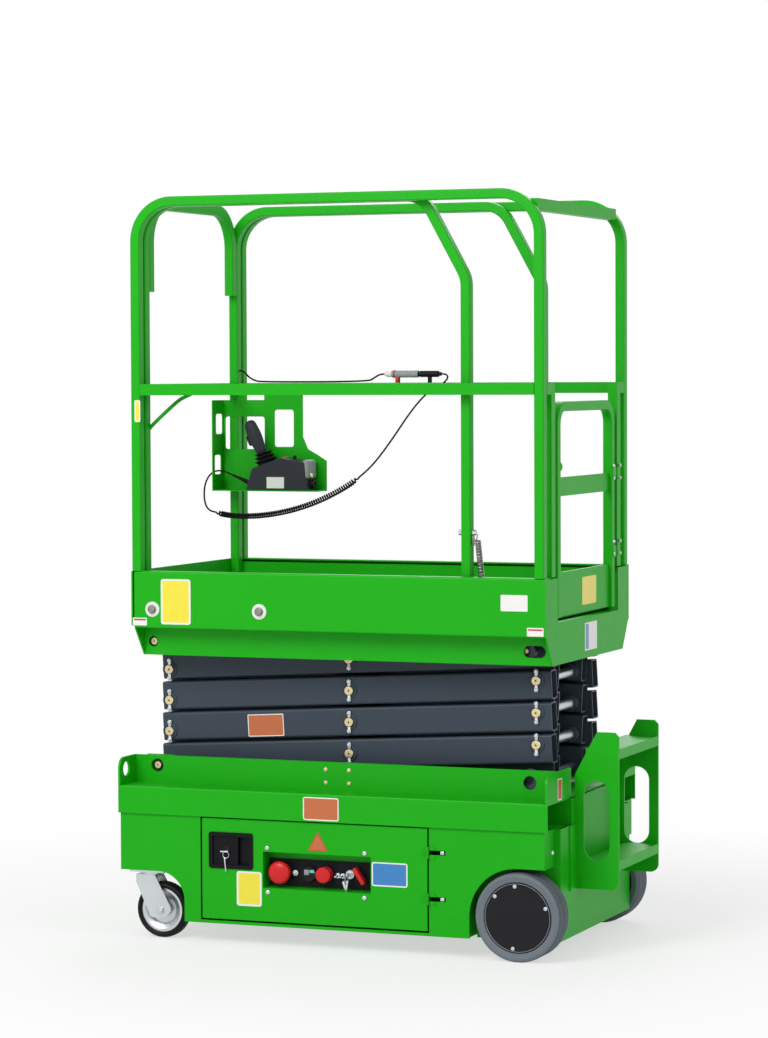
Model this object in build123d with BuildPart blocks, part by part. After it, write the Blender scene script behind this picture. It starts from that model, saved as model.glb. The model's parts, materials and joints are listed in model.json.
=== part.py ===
from build123d import *
import math
import os

# A compact self-propelled scissor lift, stowed. Millimetres, +Z up, ground at Z = 0.
# +X is the step end, -X is the caster end. -Y is the near side, with the ground controls.

# Overall
OVERALL_LENGTH = 1341.0
OVERALL_WIDTH = 760.0
REAR_X = OVERALL_LENGTH / 2
FRONT_X = -OVERALL_LENGTH / 2
SHEET = 4.0
PLATE = 6.0
SHEET_BEND = 5.0
MOVING_GAP = 5.0
RUNNING_GAP = 0.05

# Scissor stack
PIN_SPAN = 1056.0
LEVEL_PITCH = 84.0
LEVELS = 4
BASE_PIN_X = -600.5
BASE_PIN_Z = 457.0
ARM_DEPTH = 76.0
ARM_WIDTH = 45.0
ARM_WALL = 4.0
ARM_CORNER = 7.0
ARM_SIDE_GAP = 8.0
OUTER_ARM_Y = 193.0
PIN_OFFSET = 12.0
ARM_END_LEFT = 20.0
ARM_END_RIGHT = 40.0
ARM_END_ROLLER = 28.0
PIN_RADIUS = 12.5
PIN_PROUD = 6.0
ROLLER_RADIUS = 27.0
ROLLER_WIDTH = 24.0
ROLLER_SHAFT_RADIUS = 9.5
TRACK_GAP = 0.5
OPEN_PIVOT_GAP = 0.5
CROSS_TUBE_RADIUS = 20.0

# Chassis
LIP_Y = OVERALL_WIDTH / 2 - 4
LIP_BOTTOM_Z = 337.0
DECK_Z = 411.0
LIP_REAR_X = 542.5
SKIRT_Y = LIP_Y - 6
SKIRT_REAR_X = 533.5
SKIRT_FRONT_BOTTOM_Z = 184.0
BULKHEAD_X = -479.5
GROUND_CLEARANCE = 53.0
TRAY_Y = 278.0
TRAY_TOP_Z = 484.0
PIN_WINDOW_RADIUS = 18.0
LUG_HOLE_RADIUS = 20.0
LUG_HOLE_Y = LIP_Y - 40
LUG_HOLE_Z = 451.0
LUG_CORNER = 28.0
DOOR_FRONT_X = -427.0
DOOR_REAR_X = 212.5
DOOR_BOTTOM_Z = 66.0
DOOR_TOP_Z = 333.0
DOOR_DEPTH = 22.0
DOOR_HINGE_X = DOOR_REAR_X + MOVING_GAP / 2
HINGE_BARREL_RADIUS = 4.0
DOOR_HINGE_Y = SKIRT_Y + HINGE_BARREL_RADIUS + 0.5
HOUSING_REAR_X = 551.0
HOUSING_BOTTOM_Z = 45.0
FRAME_RAIL_Y = 204.0

# Steps
STEP_PLATE_Y = 177.0
STEP_FLANGE = 49.0
STEP_TOP_Z = 578.0
STEP_BOTTOM_Z = 168.0
TREAD_LIP = 26.0

# Wheels
DRIVE_RADIUS = 115.0
DRIVE_WIDTH = 80.0
DRIVE_AXLE_X = 461.5
DRIVE_RIM_RADIUS = 92.0
DRIVE_AXLE_RADIUS = 22.0
ARCH_FRONT_GAP = 18.5
ARCH_TOP_GAP = 10.0
ARCH_CORNER = 130.0
CASTER_RADIUS = 75.0
CASTER_WIDTH = 36.0
CASTER_RIM_RADIUS = 59.0
CASTER_Y = LIP_Y - 54
CASTER_SWIVEL_X = -593.5
CASTER_TRAIL = 32.0
CASTER_AXLE_RADIUS = 6.0
KINGPIN_RADIUS = 12.0

# Platform
PLATFORM_X = -53.5
PLATFORM_LENGTH = 1170.0
PLATFORM_WIDTH = 706.0
TOE_TOP_Z = 985.0
TOE_BOTTOM_Z = 833.0
FLOOR_Z = 857.0
CHANNEL_Y = 297.0
CHANNEL_BOTTOM_Z = 757.0
PLATFORM_ROLLER_Y = 282.0
RAIL_DEPTH = 26.0
RAIL_WIDTH = 30.0
RAIL_CORNER = 4.0
RAIL_TOP_Z = 1981.0
MID_RAIL_TOP_Z = 1484.0
RAIL_BEND = 105.0
OUTER_RAIL_Y = 341.0
INNER_RAIL_Y = 301.0
EXTENSION_FLOOR_Z = 866.0
GATE_HALF_WIDTH = 241.0
GATE_TOP_Z = 1436.0
JAMB_GAP = 20.0
GATE_HINGE_Y = GATE_HALF_WIDTH + JAMB_GAP / 2

# Worked-out stations
STOWED_ANGLE = math.asin(LEVEL_PITCH / PIN_SPAN)
RUN = PIN_SPAN * math.cos(STOWED_ANGLE)
RIGHT_PIN_X = BASE_PIN_X + RUN
MID_PIN_X = BASE_PIN_X + RUN / 2
PLATFORM_FRONT_X = PLATFORM_X - PLATFORM_LENGTH / 2
PLATFORM_REAR_X = PLATFORM_X + PLATFORM_LENGTH / 2
PLATFORM_Y = PLATFORM_WIDTH / 2
PLATFORM_PIN_Z = BASE_PIN_Z + LEVELS * LEVEL_PITCH
INNER_ARM_Y = OUTER_ARM_Y - ARM_WIDTH - ARM_SIDE_GAP
ARCH_FRONT_X = DRIVE_AXLE_X - DRIVE_RADIUS - ARCH_FRONT_GAP
SKIRT_REAR_BOTTOM_Z = 2 * DRIVE_RADIUS + ARCH_TOP_GAP
ARM_TILT = math.asin((LEVEL_PITCH - 2 * PIN_OFFSET) / PIN_SPAN)
POST_X = PLATFORM_LENGTH / 2 - SHEET - RAIL_DEPTH / 2
HOOP_FRONT_X = PLATFORM_X - POST_X
HOOP_REAR_X = PLATFORM_X + POST_X
HOOP_TOP_Z = RAIL_TOP_Z - RAIL_DEPTH / 2
MID_RAIL_Z = (MID_RAIL_TOP_Z - RAIL_WIDTH, MID_RAIL_TOP_Z)
SIDES = (("near", -1), ("far", 1))

os.makedirs("parts", exist_ok=True)


def save(part, name):
    part.label = name
    export_step(part, f"parts/{name}.step")


def slab(x_span, y_span, z_span, mode=Mode.ADD):
    # A plain plate or block between two corners, given as low and high values
    spans = (x_span, y_span, z_span)
    middle = tuple((low + high) / 2 for low, high in spans)
    with Locations(middle):
        Box(*(high - low for low, high in spans), mode=mode)


def across(sign, first, second):
    # A span along Y on the near side (sign -1) or the far side (sign 1), low value first
    return tuple(sorted((sign * first, sign * second)))


def cross_bar(x, z, radius, y_span, mode=Mode.ADD):
    # A round bar along Y
    with Locations((x, (y_span[0] + y_span[1]) / 2, z)):
        Cylinder(radius, y_span[1] - y_span[0], rotation=(90, 0, 0), mode=mode)


def standing_plane(y_span):
    # A plane that faces -Y at the high side of a span along Y: its sketch is drawn in X and Z,
    # and extrudes towards the low side
    return Plane.XZ.offset(-y_span[1])


def tube_frame(points, bend, path_plane, depth=RAIL_DEPTH, width=RAIL_WIDTH):
    # A rectangular tube swept round bends; depth is in the frame's own plane
    with BuildPart(mode=Mode.PRIVATE) as swept:
        with BuildLine(path_plane) as path:
            FilletPolyline(*points, radius=bend)
        with BuildSketch(Plane(path.line @ 0, x_dir=path_plane.z_dir, z_dir=path.line % 0)):
            RectangleRounded(width, depth, RAIL_CORNER)
        sweep()
    return swept.part


def turned(profile, origin, direction):
    # A solid turned about a line through the origin, along Y or in the XZ plane.
    # The profile is (radius, distance along the direction) pairs.
    along = Vector(*direction)
    outward = Vector(1, 0, 0) if along.Y else Vector(0, 1, 0)
    with BuildPart(mode=Mode.PRIVATE) as spun:
        with BuildSketch(Plane(origin=origin, x_dir=outward, z_dir=outward.cross(along))):
            Polygon(*profile, align=None)
        revolve(axis=Axis(origin, along))
    return spun.part


def arm_tubes(face_y, middle_z, tilt, end_right):
    # A pair of rectangular tubes, near and far, turned about their middle pin.
    # The pins sit a little off the tube's centreline, so the tilt is less than the pin line's.
    length = PIN_SPAN + ARM_END_LEFT + end_right
    start = -PIN_SPAN / 2 - ARM_END_LEFT
    with BuildPart(mode=Mode.PRIVATE) as pair:
        for sign in (-1, 1):
            middle = (MID_PIN_X, sign * (face_y - ARM_WIDTH / 2), middle_z)
            along = Vector(math.cos(tilt), 0, math.sin(tilt))
            with BuildSketch(Plane(Vector(*middle) + along * start, x_dir=(0, 1, 0), z_dir=along)):
                RectangleRounded(ARM_WIDTH, ARM_DEPTH, ARM_CORNER)
                RectangleRounded(
                    ARM_WIDTH - 2 * ARM_WALL,
                    ARM_DEPTH - 2 * ARM_WALL,
                    ARM_CORNER - ARM_WALL,
                    mode=Mode.SUBTRACT,
                )
            extrude(amount=length)
    return pair.part


# ---------------------------------------------------------------- chassis

with BuildPart() as chassis_deck:
    # Folded cap: a top sheet with deep lips at the sides and the front, open at the rear
    with BuildSketch(Plane.YZ.offset(FRONT_X)) as cap:
        with Locations((0, (LIP_BOTTOM_Z + DECK_Z) / 2)):
            Rectangle(2 * LIP_Y, DECK_Z - LIP_BOTTOM_Z)
        fillet(cap.vertices().group_by(Axis.Y)[-1], SHEET_BEND)
        with Locations((0, (LIP_BOTTOM_Z + DECK_Z - PLATE) / 2)):
            Rectangle(2 * (LIP_Y - SHEET), DECK_Z - PLATE - LIP_BOTTOM_Z, mode=Mode.SUBTRACT)
    extrude(amount=LIP_REAR_X - FRONT_X)
    slab((FRONT_X, FRONT_X + SHEET), (-LIP_Y + SHEET, LIP_Y - SHEET), (LIP_BOTTOM_Z, DECK_Z - PLATE))
save(chassis_deck.part, "chassis_deck")

ROLLER_OUTER_Y = 264.0
PIN_BRACKET_Y = 256.0
PIN_BRACKET_HALF = 40.0
ROLLER_WINDOW_X = 462.0
TRACK_START_X = -120.0

with BuildPart() as chassis_tray:
    # Two side walls that hold the stack, with lashing lugs, end plates and roller tracks
    for sign in (-1, 1):
        wall_y = across(sign, TRAY_Y - PLATE, TRAY_Y)
        slab((FRONT_X, LIP_REAR_X), wall_y, (DECK_Z, TRAY_TOP_Z))
        track_y = across(sign, ROLLER_OUTER_Y - ROLLER_WIDTH - SHEET, TRAY_Y - PLATE)
        track_z = (DECK_Z, BASE_PIN_Z - ROLLER_RADIUS - TRACK_GAP)
        slab((TRACK_START_X, LIP_REAR_X - PLATE), track_y, track_z)
        # Windows for the base pivot and the roller shaft
        through = across(sign, TRAY_Y - PLATE - 1, TRAY_Y + 1)
        cross_bar(BASE_PIN_X, BASE_PIN_Z, PIN_WINDOW_RADIUS, through, Mode.SUBTRACT)
        cross_bar(ROLLER_WINDOW_X, LUG_HOLE_Z, PIN_WINDOW_RADIUS, through, Mode.SUBTRACT)
        # Lashing lug at the front, end plate at the rear
        with BuildSketch(Plane.YZ.offset(FRONT_X)) as lug:
            with Locations((sign * (TRAY_Y + LIP_Y) / 2, (DECK_Z + TRAY_TOP_Z) / 2)):
                Rectangle(LIP_Y - TRAY_Y, TRAY_TOP_Z - DECK_Z)
            top_corners = lug.vertices().group_by(Axis.Y)[-1].sort_by(Axis.X)
            fillet(top_corners[-1 if sign > 0 else 0], LUG_CORNER)
            with Locations((sign * LUG_HOLE_Y, LUG_HOLE_Z)):
                Circle(LUG_HOLE_RADIUS, mode=Mode.SUBTRACT)
        extrude(amount=PLATE)
        with BuildSketch(Plane.YZ.offset(LIP_REAR_X - PLATE)) as end_plate:
            plate_low_y = STEP_PLATE_Y + PLATE
            with Locations((sign * (plate_low_y + LIP_Y) / 2, (DECK_Z + TRAY_TOP_Z) / 2)):
                Rectangle(LIP_Y - plate_low_y, TRAY_TOP_Z - DECK_Z)
            top_corners = end_plate.vertices().group_by(Axis.Y)[-1].sort_by(Axis.X)
            fillet(top_corners[-1 if sign > 0 else 0], LUG_CORNER)
        extrude(amount=PLATE)
        # Base pivot pin on its bracket
        bracket_x = (BASE_PIN_X - PIN_BRACKET_HALF, BASE_PIN_X + PIN_BRACKET_HALF)
        bracket_y = across(sign, PIN_BRACKET_Y - PLATE, PIN_BRACKET_Y)
        slab(bracket_x, bracket_y, (DECK_Z, TRAY_TOP_Z))
        slab(bracket_x, across(sign, PIN_BRACKET_Y, TRAY_Y - PLATE), (DECK_Z, DECK_Z + PLATE))
        pin_y = across(sign, OUTER_ARM_Y - ARM_WIDTH, TRAY_Y - PLATE - SHEET)
        cross_bar(BASE_PIN_X, BASE_PIN_Z, PIN_RADIUS, pin_y)
save(chassis_tray.part, "chassis_tray")

WHEEL_WALL_X = ARCH_FRONT_X - PLATE
SKIRT_FRONT_X = FRONT_X + SHEET
CASTER_ARCH_RADIUS = 76.0
HINGE_Z = (150.0, 271.0)
HINGE_SLOT_LENGTH = 46.0
HINGE_SLOT_HEIGHT = 12.0
HINGE_LEAF = 20.0
HINGE_LEAF_THICKNESS = 2.0
HINGE_KNUCKLE_GAP = 0.5
KNUCKLE_HEIGHT = 9.0

for side, sign in SIDES:
    with BuildPart() as skirt:
        # Side sheet with the door opening, the caster cut-out and the drive wheel arch
        with BuildSketch(standing_plane(across(sign, SKIRT_Y - SHEET, SKIRT_Y))) as outline:
            Polygon(
                (SKIRT_FRONT_X, DECK_Z - PLATE),
                (SKIRT_FRONT_X, SKIRT_FRONT_BOTTOM_Z),
                (BULKHEAD_X, SKIRT_FRONT_BOTTOM_Z),
                (BULKHEAD_X, GROUND_CLEARANCE),
                (ARCH_FRONT_X, GROUND_CLEARANCE),
                (ARCH_FRONT_X, SKIRT_REAR_BOTTOM_Z),
                (SKIRT_REAR_X, SKIRT_REAR_BOTTOM_Z),
                (SKIRT_REAR_X, DECK_Z - PLATE),
                align=None,
            )
            caster_corner = (BULKHEAD_X, SKIRT_FRONT_BOTTOM_Z, 0)
            fillet(outline.vertices().sort_by_distance(caster_corner)[0], CASTER_ARCH_RADIUS)
            drive_corner = (ARCH_FRONT_X, SKIRT_REAR_BOTTOM_Z, 0)
            fillet(outline.vertices().sort_by_distance(drive_corner)[0], ARCH_CORNER)
            with Locations(((DOOR_FRONT_X + DOOR_REAR_X) / 2, (DOOR_BOTTOM_Z + DOOR_TOP_Z) / 2)):
                Rectangle(
                    DOOR_REAR_X - DOOR_FRONT_X + 2 * MOVING_GAP,
                    DOOR_TOP_Z - DOOR_BOTTOM_Z + 2 * MOVING_GAP,
                    mode=Mode.SUBTRACT,
                )
            slot_x = DOOR_REAR_X + MOVING_GAP + HINGE_SLOT_LENGTH / 2
            with Locations(*((slot_x, z) for z in HINGE_Z)):
                Rectangle(HINGE_SLOT_LENGTH, HINGE_SLOT_HEIGHT, mode=Mode.SUBTRACT)
        extrude(amount=SHEET)
        # Outer knuckles of each door hinge, on leaves against the sheet
        for hinge_z in HINGE_Z:
            half = HINGE_SLOT_HEIGHT / 2
            for z_low in (hinge_z - half - KNUCKLE_HEIGHT, hinge_z + half):
                with Locations((DOOR_HINGE_X, sign * DOOR_HINGE_Y, z_low + KNUCKLE_HEIGHT / 2)):
                    Cylinder(HINGE_BARREL_RADIUS, KNUCKLE_HEIGHT)
                leaf_y = across(sign, SKIRT_Y, SKIRT_Y + HINGE_LEAF_THICKNESS)
                slab((DOOR_HINGE_X, DOOR_HINGE_X + HINGE_LEAF), leaf_y, (z_low, z_low + KNUCKLE_HEIGHT))
    save(skirt.part, f"skirt_{side}")

with BuildPart() as chassis_frame:
    # Belly pan, bulkheads, front plate and caster floor between the skirts
    inner = (-SKIRT_Y + SHEET, SKIRT_Y - SHEET)
    slab((BULKHEAD_X, WHEEL_WALL_X), inner, (GROUND_CLEARANCE, GROUND_CLEARANCE + SHEET))
    slab((BULKHEAD_X, BULKHEAD_X + SHEET), inner, (GROUND_CLEARANCE + SHEET, DECK_Z - PLATE))
    slab((WHEEL_WALL_X - SHEET, WHEEL_WALL_X), inner, (GROUND_CLEARANCE + SHEET, DECK_Z - PLATE))
    caster_floor_z = (SKIRT_FRONT_BOTTOM_Z, SKIRT_FRONT_BOTTOM_Z + SHEET)
    slab((SKIRT_FRONT_X, BULKHEAD_X), inner, caster_floor_z)
    front_plate_z = (SKIRT_FRONT_BOTTOM_Z + SHEET, DECK_Z - PLATE)
    slab((SKIRT_FRONT_X, SKIRT_FRONT_X + SHEET), inner, front_plate_z)
save(chassis_frame.part, "chassis_frame")

HOUSING_Y = OVERALL_WIDTH / 2 - DRIVE_WIDTH - MOVING_GAP
AXLE_END_Y = OVERALL_WIDTH / 2 - 20
with BuildPart() as rear_beam:
    # Hollow beam between the drive wheels: side walls, floor and rear plate, with an arch
    # cover, a deck rail and an axle stub on each side
    for sign in (-1, 1):
        wall_y = across(sign, HOUSING_Y - SHEET, HOUSING_Y)
        slab((WHEEL_WALL_X, HOUSING_REAR_X), wall_y, (HOUSING_BOTTOM_Z, LIP_BOTTOM_Z))
        cover_y = across(sign, FRAME_RAIL_Y, SKIRT_Y - SHEET)
        slab((WHEEL_WALL_X, SKIRT_REAR_X), cover_y, (LIP_BOTTOM_Z - SHEET, LIP_BOTTOM_Z))
        rail_y = across(sign, FRAME_RAIL_Y - SHEET, FRAME_RAIL_Y)
        slab((WHEEL_WALL_X, HOUSING_REAR_X), rail_y, (LIP_BOTTOM_Z - SHEET, DECK_Z - PLATE))
        cross_bar(DRIVE_AXLE_X, DRIVE_RADIUS, DRIVE_AXLE_RADIUS, across(sign, HOUSING_Y, AXLE_END_Y))
        # Return flange behind the wheel
        return_y = across(sign, HOUSING_Y, SKIRT_Y - SHEET)
        return_z = (SKIRT_REAR_BOTTOM_Z, LIP_BOTTOM_Z)
        slab((SKIRT_REAR_X - SHEET, SKIRT_REAR_X), return_y, return_z)
    inside = HOUSING_Y - SHEET
    slab((WHEEL_WALL_X, HOUSING_REAR_X), (-inside, inside), (HOUSING_BOTTOM_Z, HOUSING_BOTTOM_Z + SHEET))
    front_z = (HOUSING_BOTTOM_Z + SHEET, GROUND_CLEARANCE)
    slab((WHEEL_WALL_X, WHEEL_WALL_X + SHEET), (-inside, inside), front_z)
    slab((HOUSING_REAR_X - SHEET, HOUSING_REAR_X), (-inside, inside), (HOUSING_BOTTOM_Z, LIP_BOTTOM_Z))
    between = FRAME_RAIL_Y - SHEET
    slab((HOUSING_REAR_X - SHEET, HOUSING_REAR_X), (-between, between), (LIP_BOTTOM_Z, DECK_Z - PLATE))
save(rear_beam.part, "rear_beam")

MOTOR_RADIUS = 50.0
MOTOR_INNER_Y = 200.0
with BuildPart() as drive_units:
    # Motor and gearbox as one block each side
    for sign in (-1, 1):
        motor_y = across(sign, MOTOR_INNER_Y, HOUSING_Y - SHEET)
        cross_bar(DRIVE_AXLE_X, DRIVE_RADIUS, MOTOR_RADIUS, motor_y)
save(drive_units.part, "drive_units")

with BuildPart() as battery:
    slab((-440, -180), (-170, 170), (GROUND_CLEARANCE + SHEET, 290))
save(battery.part, "battery")

with BuildPart() as hydraulic_unit:
    slab((-120, 180), (-120, 120), (GROUND_CLEARANCE + SHEET, 260))
save(hydraulic_unit.part, "hydraulic_unit")

STEP_SLOT_X = 610.0
STEP_SLOT_Z = 347.5
STEP_SLOT_LENGTH = 207.0
STEP_SLOT_WIDTH = 70.0
STEP_CORNER = 22.0
TREAD_DEPTH = 92.0
UPPER_TREAD_Z = 535.0
LOWER_TREAD_Z = 245.0

with BuildPart() as rear_steps:
    # Two slotted side plates with bolting flanges, joined by folded treads
    for sign in (-1, 1):
        with BuildSketch(standing_plane(across(sign, STEP_PLATE_Y - PLATE, STEP_PLATE_Y))) as side_plate:
            Polygon(
                (HOUSING_REAR_X, STEP_BOTTOM_Z),
                (REAR_X, STEP_BOTTOM_Z),
                (REAR_X, STEP_TOP_Z - STEP_CORNER / 2),
                (REAR_X - STEP_CORNER / 2, STEP_TOP_Z),
                (HOUSING_REAR_X + 60, STEP_TOP_Z),
                (HOUSING_REAR_X, STEP_TOP_Z - 112),
                align=None,
            )
            fillet(side_plate.vertices().sort_by_distance((REAR_X, STEP_BOTTOM_Z, 0))[0], STEP_CORNER)
            with Locations((STEP_SLOT_X, STEP_SLOT_Z)):
                SlotOverall(STEP_SLOT_LENGTH, STEP_SLOT_WIDTH, rotation=90, mode=Mode.SUBTRACT)
        extrude(amount=PLATE)
        flange_y = across(sign, STEP_PLATE_Y, STEP_PLATE_Y + STEP_FLANGE)
        slab((HOUSING_REAR_X, HOUSING_REAR_X + SHEET), flange_y, (STEP_BOTTOM_Z, LIP_BOTTOM_Z))
    between = (-STEP_PLATE_Y + PLATE, STEP_PLATE_Y - PLATE)
    for tread_z in (LOWER_TREAD_Z, UPPER_TREAD_Z):
        slab((REAR_X - TREAD_DEPTH, REAR_X), between, (tread_z - SHEET, tread_z))
        slab((REAR_X - SHEET, REAR_X), between, (tread_z - TREAD_LIP, tread_z - SHEET))
        inner_edge = REAR_X - TREAD_DEPTH
        slab((inner_edge, inner_edge + SHEET), between, (tread_z - TREAD_LIP, tread_z - SHEET))
save(rear_steps.part, "rear_steps")

# Hinged tray doors, one each side. The near one carries the ground controls.
DOOR_SKIN = 3.0
LATCH_X = -343.0
LATCH_Z = 249.0
LATCH_WIDTH = 128.0
LATCH_HEIGHT = 97.0
LATCH_FLANGE = 8.0
LATCH_FLANGE_THICKNESS = 2.5
LATCH_RECESS = 14.0
PADDLE_WIDTH = 72.0
RECESS_X = (-251.0, 55.0)
RECESS_Z = (155.0, 251.0)
RECESS_BACK_Y = SKIRT_Y - 45
PANEL_EDGE = 3.0
PANEL_TOP_Z = 229.0
PANEL_THICKNESS = 6.0

for side, sign in SIDES:
    with BuildPart() as door:
        # Folded pan with a cut-out for its latch
        with BuildSketch(standing_plane(across(sign, SKIRT_Y - DOOR_SKIN, SKIRT_Y))):
            with Locations(((DOOR_FRONT_X + DOOR_REAR_X) / 2, (DOOR_BOTTOM_Z + DOOR_TOP_Z) / 2)):
                RectangleRounded(DOOR_REAR_X - DOOR_FRONT_X, DOOR_TOP_Z - DOOR_BOTTOM_Z, DOOR_SKIN)
            with Locations((LATCH_X, LATCH_Z)):
                Rectangle(
                    LATCH_WIDTH - 2 * LATCH_FLANGE,
                    LATCH_HEIGHT - 2 * LATCH_FLANGE,
                    mode=Mode.SUBTRACT,
                )
        extrude(amount=DOOR_SKIN)
        edge_y = across(sign, SKIRT_Y - DOOR_DEPTH, SKIRT_Y - DOOR_SKIN)
        slab((DOOR_FRONT_X, DOOR_FRONT_X + DOOR_SKIN), edge_y, (DOOR_BOTTOM_Z, DOOR_TOP_Z))
        slab((DOOR_REAR_X - DOOR_SKIN, DOOR_REAR_X), edge_y, (DOOR_BOTTOM_Z, DOOR_TOP_Z))
        slab((DOOR_FRONT_X, DOOR_REAR_X), edge_y, (DOOR_BOTTOM_Z, DOOR_BOTTOM_Z + DOOR_SKIN))
        slab((DOOR_FRONT_X, DOOR_REAR_X), edge_y, (DOOR_TOP_Z - DOOR_SKIN, DOOR_TOP_Z))
        if side == "near":
            # Recess that the controls stand in
            slab(
                (RECESS_X[0] - DOOR_SKIN, RECESS_X[1] + DOOR_SKIN),
                across(sign, RECESS_BACK_Y - DOOR_SKIN, SKIRT_Y),
                (RECESS_Z[0] - DOOR_SKIN, RECESS_Z[1] + DOOR_SKIN),
            )
            slab(RECESS_X, across(sign, RECESS_BACK_Y, SKIRT_Y + 1), RECESS_Z, Mode.SUBTRACT)
        # Middle knuckle of each hinge, on a leaf against the skin
        for hinge_z in HINGE_Z:
            half = HINGE_SLOT_HEIGHT / 2 - HINGE_KNUCKLE_GAP
            with Locations((DOOR_HINGE_X, sign * DOOR_HINGE_Y, hinge_z)):
                Cylinder(HINGE_BARREL_RADIUS, 2 * half)
            leaf_y = across(sign, SKIRT_Y, SKIRT_Y + HINGE_LEAF_THICKNESS)
            slab((DOOR_HINGE_X - HINGE_LEAF, DOOR_HINGE_X), leaf_y, (hinge_z - half, hinge_z + half))
    save(door.part, f"door_{side}")
    with BuildPart() as latch:
        # Flanged cup let into the door, with the pull paddle hinged across it
        flange_y = across(sign, SKIRT_Y, SKIRT_Y + LATCH_FLANGE_THICKNESS)
        with BuildSketch(standing_plane(flange_y)):
            with Locations((LATCH_X, LATCH_Z)):
                RectangleRounded(LATCH_WIDTH, LATCH_HEIGHT, LATCH_FLANGE)
        extrude(amount=LATCH_FLANGE_THICKNESS)
        cup_x = LATCH_WIDTH / 2 - LATCH_FLANGE - RUNNING_GAP
        cup_z = LATCH_HEIGHT / 2 - LATCH_FLANGE - RUNNING_GAP
        span_x = (LATCH_X - cup_x, LATCH_X + cup_x)
        span_z = (LATCH_Z - cup_z, LATCH_Z + cup_z)
        slab(span_x, across(sign, SKIRT_Y - LATCH_RECESS - DOOR_SKIN, SKIRT_Y), span_z)
        hollow_x = (span_x[0] + DOOR_SKIN, span_x[1] - DOOR_SKIN)
        hollow_z = (span_z[0] + DOOR_SKIN, span_z[1] - DOOR_SKIN)
        hollow_y = across(sign, SKIRT_Y - LATCH_RECESS, SKIRT_Y + LATCH_FLANGE_THICKNESS)
        slab(hollow_x, hollow_y, hollow_z, Mode.SUBTRACT)
        paddle_y = across(sign, SKIRT_Y - LATCH_RECESS, SKIRT_Y - LATCH_FLANGE_THICKNESS)
        slab((hollow_x[0], hollow_x[0] + PADDLE_WIDTH), paddle_y, hollow_z)
    save(latch.part, f"latch_{side}")

with BuildPart() as ground_controls:
    # Control panel on the back of the near door's recess
    panel_x = (RECESS_X[0] + PANEL_EDGE, RECESS_X[1] - PANEL_EDGE)
    panel_y = across(-1, RECESS_BACK_Y, RECESS_BACK_Y + PANEL_THICKNESS)
    slab(panel_x, panel_y, (RECESS_Z[0] + PANEL_EDGE, PANEL_TOP_Z))
save(ground_controls.part, "ground_controls")

# ---------------------------------------------------------------- wheels

# (radius, distance out from the wheel's middle plane)
DRIVE_TYRE_PROFILE = (
    (DRIVE_RIM_RADIUS, -36),
    (106, -40),
    (112, -38),
    (DRIVE_RADIUS, -32),
    (DRIVE_RADIUS, 32),
    (112, 38),
    (106, 40),
    (DRIVE_RIM_RADIUS, 36),
)
CASTER_TYRE_PROFILE = (
    (CASTER_RIM_RADIUS, -15),
    (66, -18),
    (71, -16),
    (CASTER_RADIUS, -9),
    (CASTER_RADIUS, 9),
    (71, 16),
    (66, 18),
    (CASTER_RIM_RADIUS, 15),
)
wheel_bore = DRIVE_AXLE_RADIUS + RUNNING_GAP
DRIVE_HUB_PROFILE = (
    (wheel_bore, -38),
    (DRIVE_RIM_RADIUS, -34),
    (DRIVE_RIM_RADIUS, 34),
    (86, 35),
    (78, 27),
    (62, 25),
    (56, 33),
    (20, 36),
    (0, 36),
    (0, 26),
    (wheel_bore, 26),
)
caster_bore = CASTER_AXLE_RADIUS + RUNNING_GAP
CASTER_RIM_PROFILE = (
    (caster_bore, -18),
    (15, -18),
    (17, -6),
    (36, -3),
    (52, -13),
    (CASTER_RIM_RADIUS, -13),
    (CASTER_RIM_RADIUS, 13),
    (52, 13),
    (36, 3),
    (17, 6),
    (15, 18),
    (caster_bore, 18),
)
DRIVE_WHEEL_Y = (OVERALL_WIDTH - DRIVE_WIDTH) / 2
CASTER_AXLE_X = CASTER_SWIVEL_X + CASTER_TRAIL
CASTER_PLATE_Z = SKIRT_FRONT_BOTTOM_Z - PLATE
CASTER_CROWN_TOP_Z = CASTER_PLATE_Z - 8
KINGPIN_LENGTH = 20.0

for side, sign in SIDES:
    outward = (0, sign, 0)
    drive_centre = (DRIVE_AXLE_X, sign * DRIVE_WHEEL_Y, DRIVE_RADIUS)
    with BuildPart() as tyre:
        add(turned(DRIVE_TYRE_PROFILE, drive_centre, outward))
    save(tyre.part, f"drive_tyre_{side}")
    with BuildPart() as hub:
        add(turned(DRIVE_HUB_PROFILE, drive_centre, outward))
    save(hub.part, f"drive_hub_{side}")

with BuildPart() as caster_plates:
    for sign in (-1, 1):
        y = sign * CASTER_Y
        plate_x = (CASTER_SWIVEL_X - 50, CASTER_SWIVEL_X + 50)
        slab(plate_x, (y - 42, y + 42), (CASTER_PLATE_Z, SKIRT_FRONT_BOTTOM_Z))
        with Locations((CASTER_SWIVEL_X, y, CASTER_PLATE_Z)):
            Cylinder(KINGPIN_RADIUS, KINGPIN_LENGTH, align=(Align.CENTER, Align.CENTER, Align.MAX))
save(caster_plates.part, "caster_plates")

# Fork leg outline: (distance in front of the axle, height above it)
FORK_LEG = (
    (-70.5, 95),
    (-15.5, 95),
    (29.5, 12),
    (31.5, 0),
    (16.5, -18),
    (-20, -20),
    (-28.5, -17),
    (-70.5, 74),
)
FORK_HALF_GAP = CASTER_WIDTH / 2 + MOVING_GAP

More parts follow.
